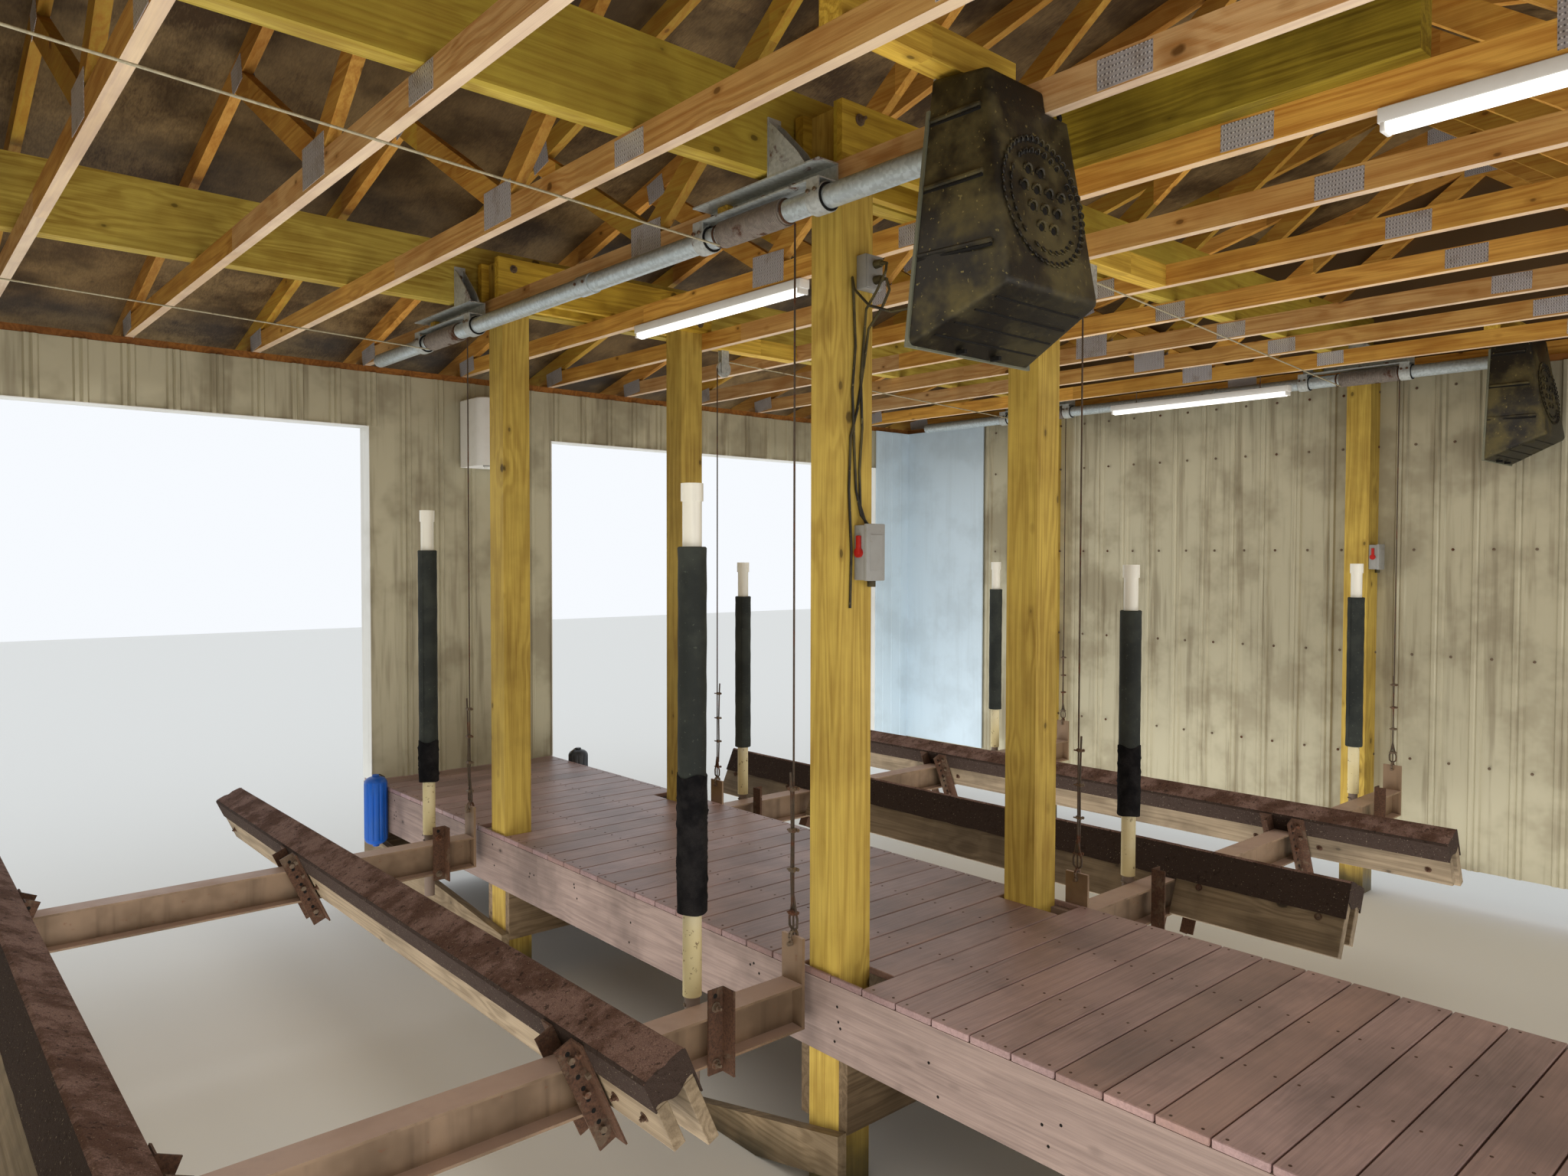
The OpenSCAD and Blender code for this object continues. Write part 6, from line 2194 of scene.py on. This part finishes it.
@dataclass
class WallScrews(Fitter):
    """Rows of washered screws through the flats of the wall lining."""

    rows: tuple[float, ...] = (0.86, 1.50, 2.14, 2.78, 3.12)
    pitch: float = 0.210

    def build(self) -> None:
        """Puts the screws on the inside of both side walls."""
        low, high = corners("wall_lining")
        piece = self.piece("lining_screws", "bolt_steel")
        spots = []
        for x, out in ((low.x, 1), (high.x, -1)):
            turn = spin_about("Y", 90 * out)
            y = low.y + 0.15
            while y < high.y - 0.05:
                spots += [place((x + out * 0.0185, y, z), turn) for z in self.rows]
                y += self.pitch
        piece.add(lathe([(0.0001, 0.006), (0.0055, 0.006), (0.0055, 0.002), (0.0085, 0.0015),
                         (0.009, -0.001)], 8), 0, spots)
        piece.finish("building", "galvanised_steel")


@dataclass
class PanelSeams(Fitter):
    """Folded seams with painted shadow on the white panel that faces the dock in the front corner.
    """

    share: tuple[float, ...] = (0.22, 0.48, 0.74)

    def build(self) -> None:
        """Runs the seams up the panel on the front wall."""
        low, high = corners("corner_panels")
        piece = self.piece("panel_seams", "white_panel", "grey_box")
        for share in self.share:
            x = high.x + share * (low.x - high.x)
            y = low.y + 0.004
            foot, head = low.z + 0.01, high.z - 0.01
            piece.add(block((x - 0.007, y, foot), (x + 0.007, y + 0.012, head), 0.002))
            # The grey strip beside each seam is painted shadow.
            piece.add(block((x + 0.007, y, foot), (x + 0.010, y + 0.0055, head)), 1)
        piece.finish("building", "white_panel")


@dataclass
class FrameBolts(Fitter):
    """Carriage bolts through the posts' heads, and nails in the dock's rim."""

    rows: tuple[float, ...] = POST_ROWS
    post: float = 0.527
    parts: Rings = (
        (0, 0.003, 0.019, 16), (0.003, 0.014, 0.011, 6), (0.014, 0.028, 0.006, 8))

    def build(self) -> None:
        """Makes the bolts and the nails."""
        piece = self.piece("frame_bolts", "bolt_steel", "dark_gap")
        for y in self.rows:
            top = 3.43 if y > 1 else 3.50
            for s in (-1, 1):
                for face in (-1, 1):
                    outer = y + face * 0.108
                    for dx, z in ((-0.030, 3.360), (0.030, top - 0.040)):
                        piece.bolt((s * self.post + dx, outer, z), (0, face, 0), self.parts, 0)
        low, high = corners("dock_rim")
        pick = random.Random(7)
        y = low.y + 0.10
        while y < high.y - 0.05:
            for x, out in ((low.x, -1), (high.x, 1)):
                for _ in range(pick.randint(2, 5)):
                    z = pick.uniform(high.z - 0.030, low.z + 0.040)
                    at = (x, y + pick.uniform(-0.03, 0.03), z)
                    piece.add(rod(at, (x + out * 0.0006, at[1], z), 0.0048, 7), 1)
            y += 0.407
        piece.finish("building", "galvanised_steel")


def main() -> None:
    """Builds the studio and every sub-assembly in order."""
    logging.basicConfig(level=logging.INFO, format="%(message)s")
    finishes = stock_finishes()
    dress_nodes(finishes)
    Studio().build()
    Decking(finishes).build()
    TrussPlates(finishes).build()
    MotorCover(finishes, "left_motor_cover", 0.6985, 0.640).build(("motor_covers",))
    MotorCover(finishes, "right_motor_cover", -3.9225).build(())
    left, right = (-0.560, -2.980), (-0.340, -2.660)
    left_bunks = Bunks(finishes, "left", 2.0025, -0.160, -4.240, left)
    right_bunks = Bunks(finishes, "right", -2.0025, 0.410, -3.430, right)
    left_bunks.build()
    right_bunks.build()
    DrivePipe(finishes, "left", 0.6985, left).build()
    DrivePipe(finishes, "right", -3.9665, right).build()
    HangerFittings(finishes, "left_hanger_fittings", 0.6985, (-0.360, -2.780)).build()
    HangerFittings(finishes, "right_hanger_fittings", -3.9665, (-0.260, -2.580)).build()
    CableEnds(finishes, "left", 0.656, 4.0093, left).build()
    CableEnds(finishes, "right", -0.6557, -4.009, right).build()
    DropRopes(finishes, "left", 0.656, 4.0093, left).build()
    DropRopes(finishes, "right", -4.009, -0.6557, right).build()
    left_posts = ((1.0141, -0.634), (3.609, -0.634), (0.8371, -3.054), (3.261, -3.054))
    right_posts = ((-1.1559, -0.414), (-3.609, -0.414), (-0.9011, -2.734), (-3.261, -2.734))
    for bunks, posts in ((left_bunks, left_posts), (right_bunks, right_posts)):
        clamps = tuple((x, y + GUIDE_SETBACK) for x, y in posts)
        CradleFittings(finishes, bunks.side, bunks.ys, clamps, bunks).build()
    GuideSleeves(finishes, "left", left_posts, 2.115, (0.43, 0.0, 0.20, 0.0)).build()
    GuideSleeves(finishes, "right", right_posts, 1.860, (0.30, 0.0, 0.0, 0.0)).build()
    StripLights(finishes).build()
    WallHeater(finishes).build()
    SwitchBoxes(finishes).build()
    DockFenders(finishes).build()
    PanelSeams(finishes).build()
    WallScrews(finishes).build()
    FrameBolts(finishes).build()


if __name__ == "__main__":
    main()
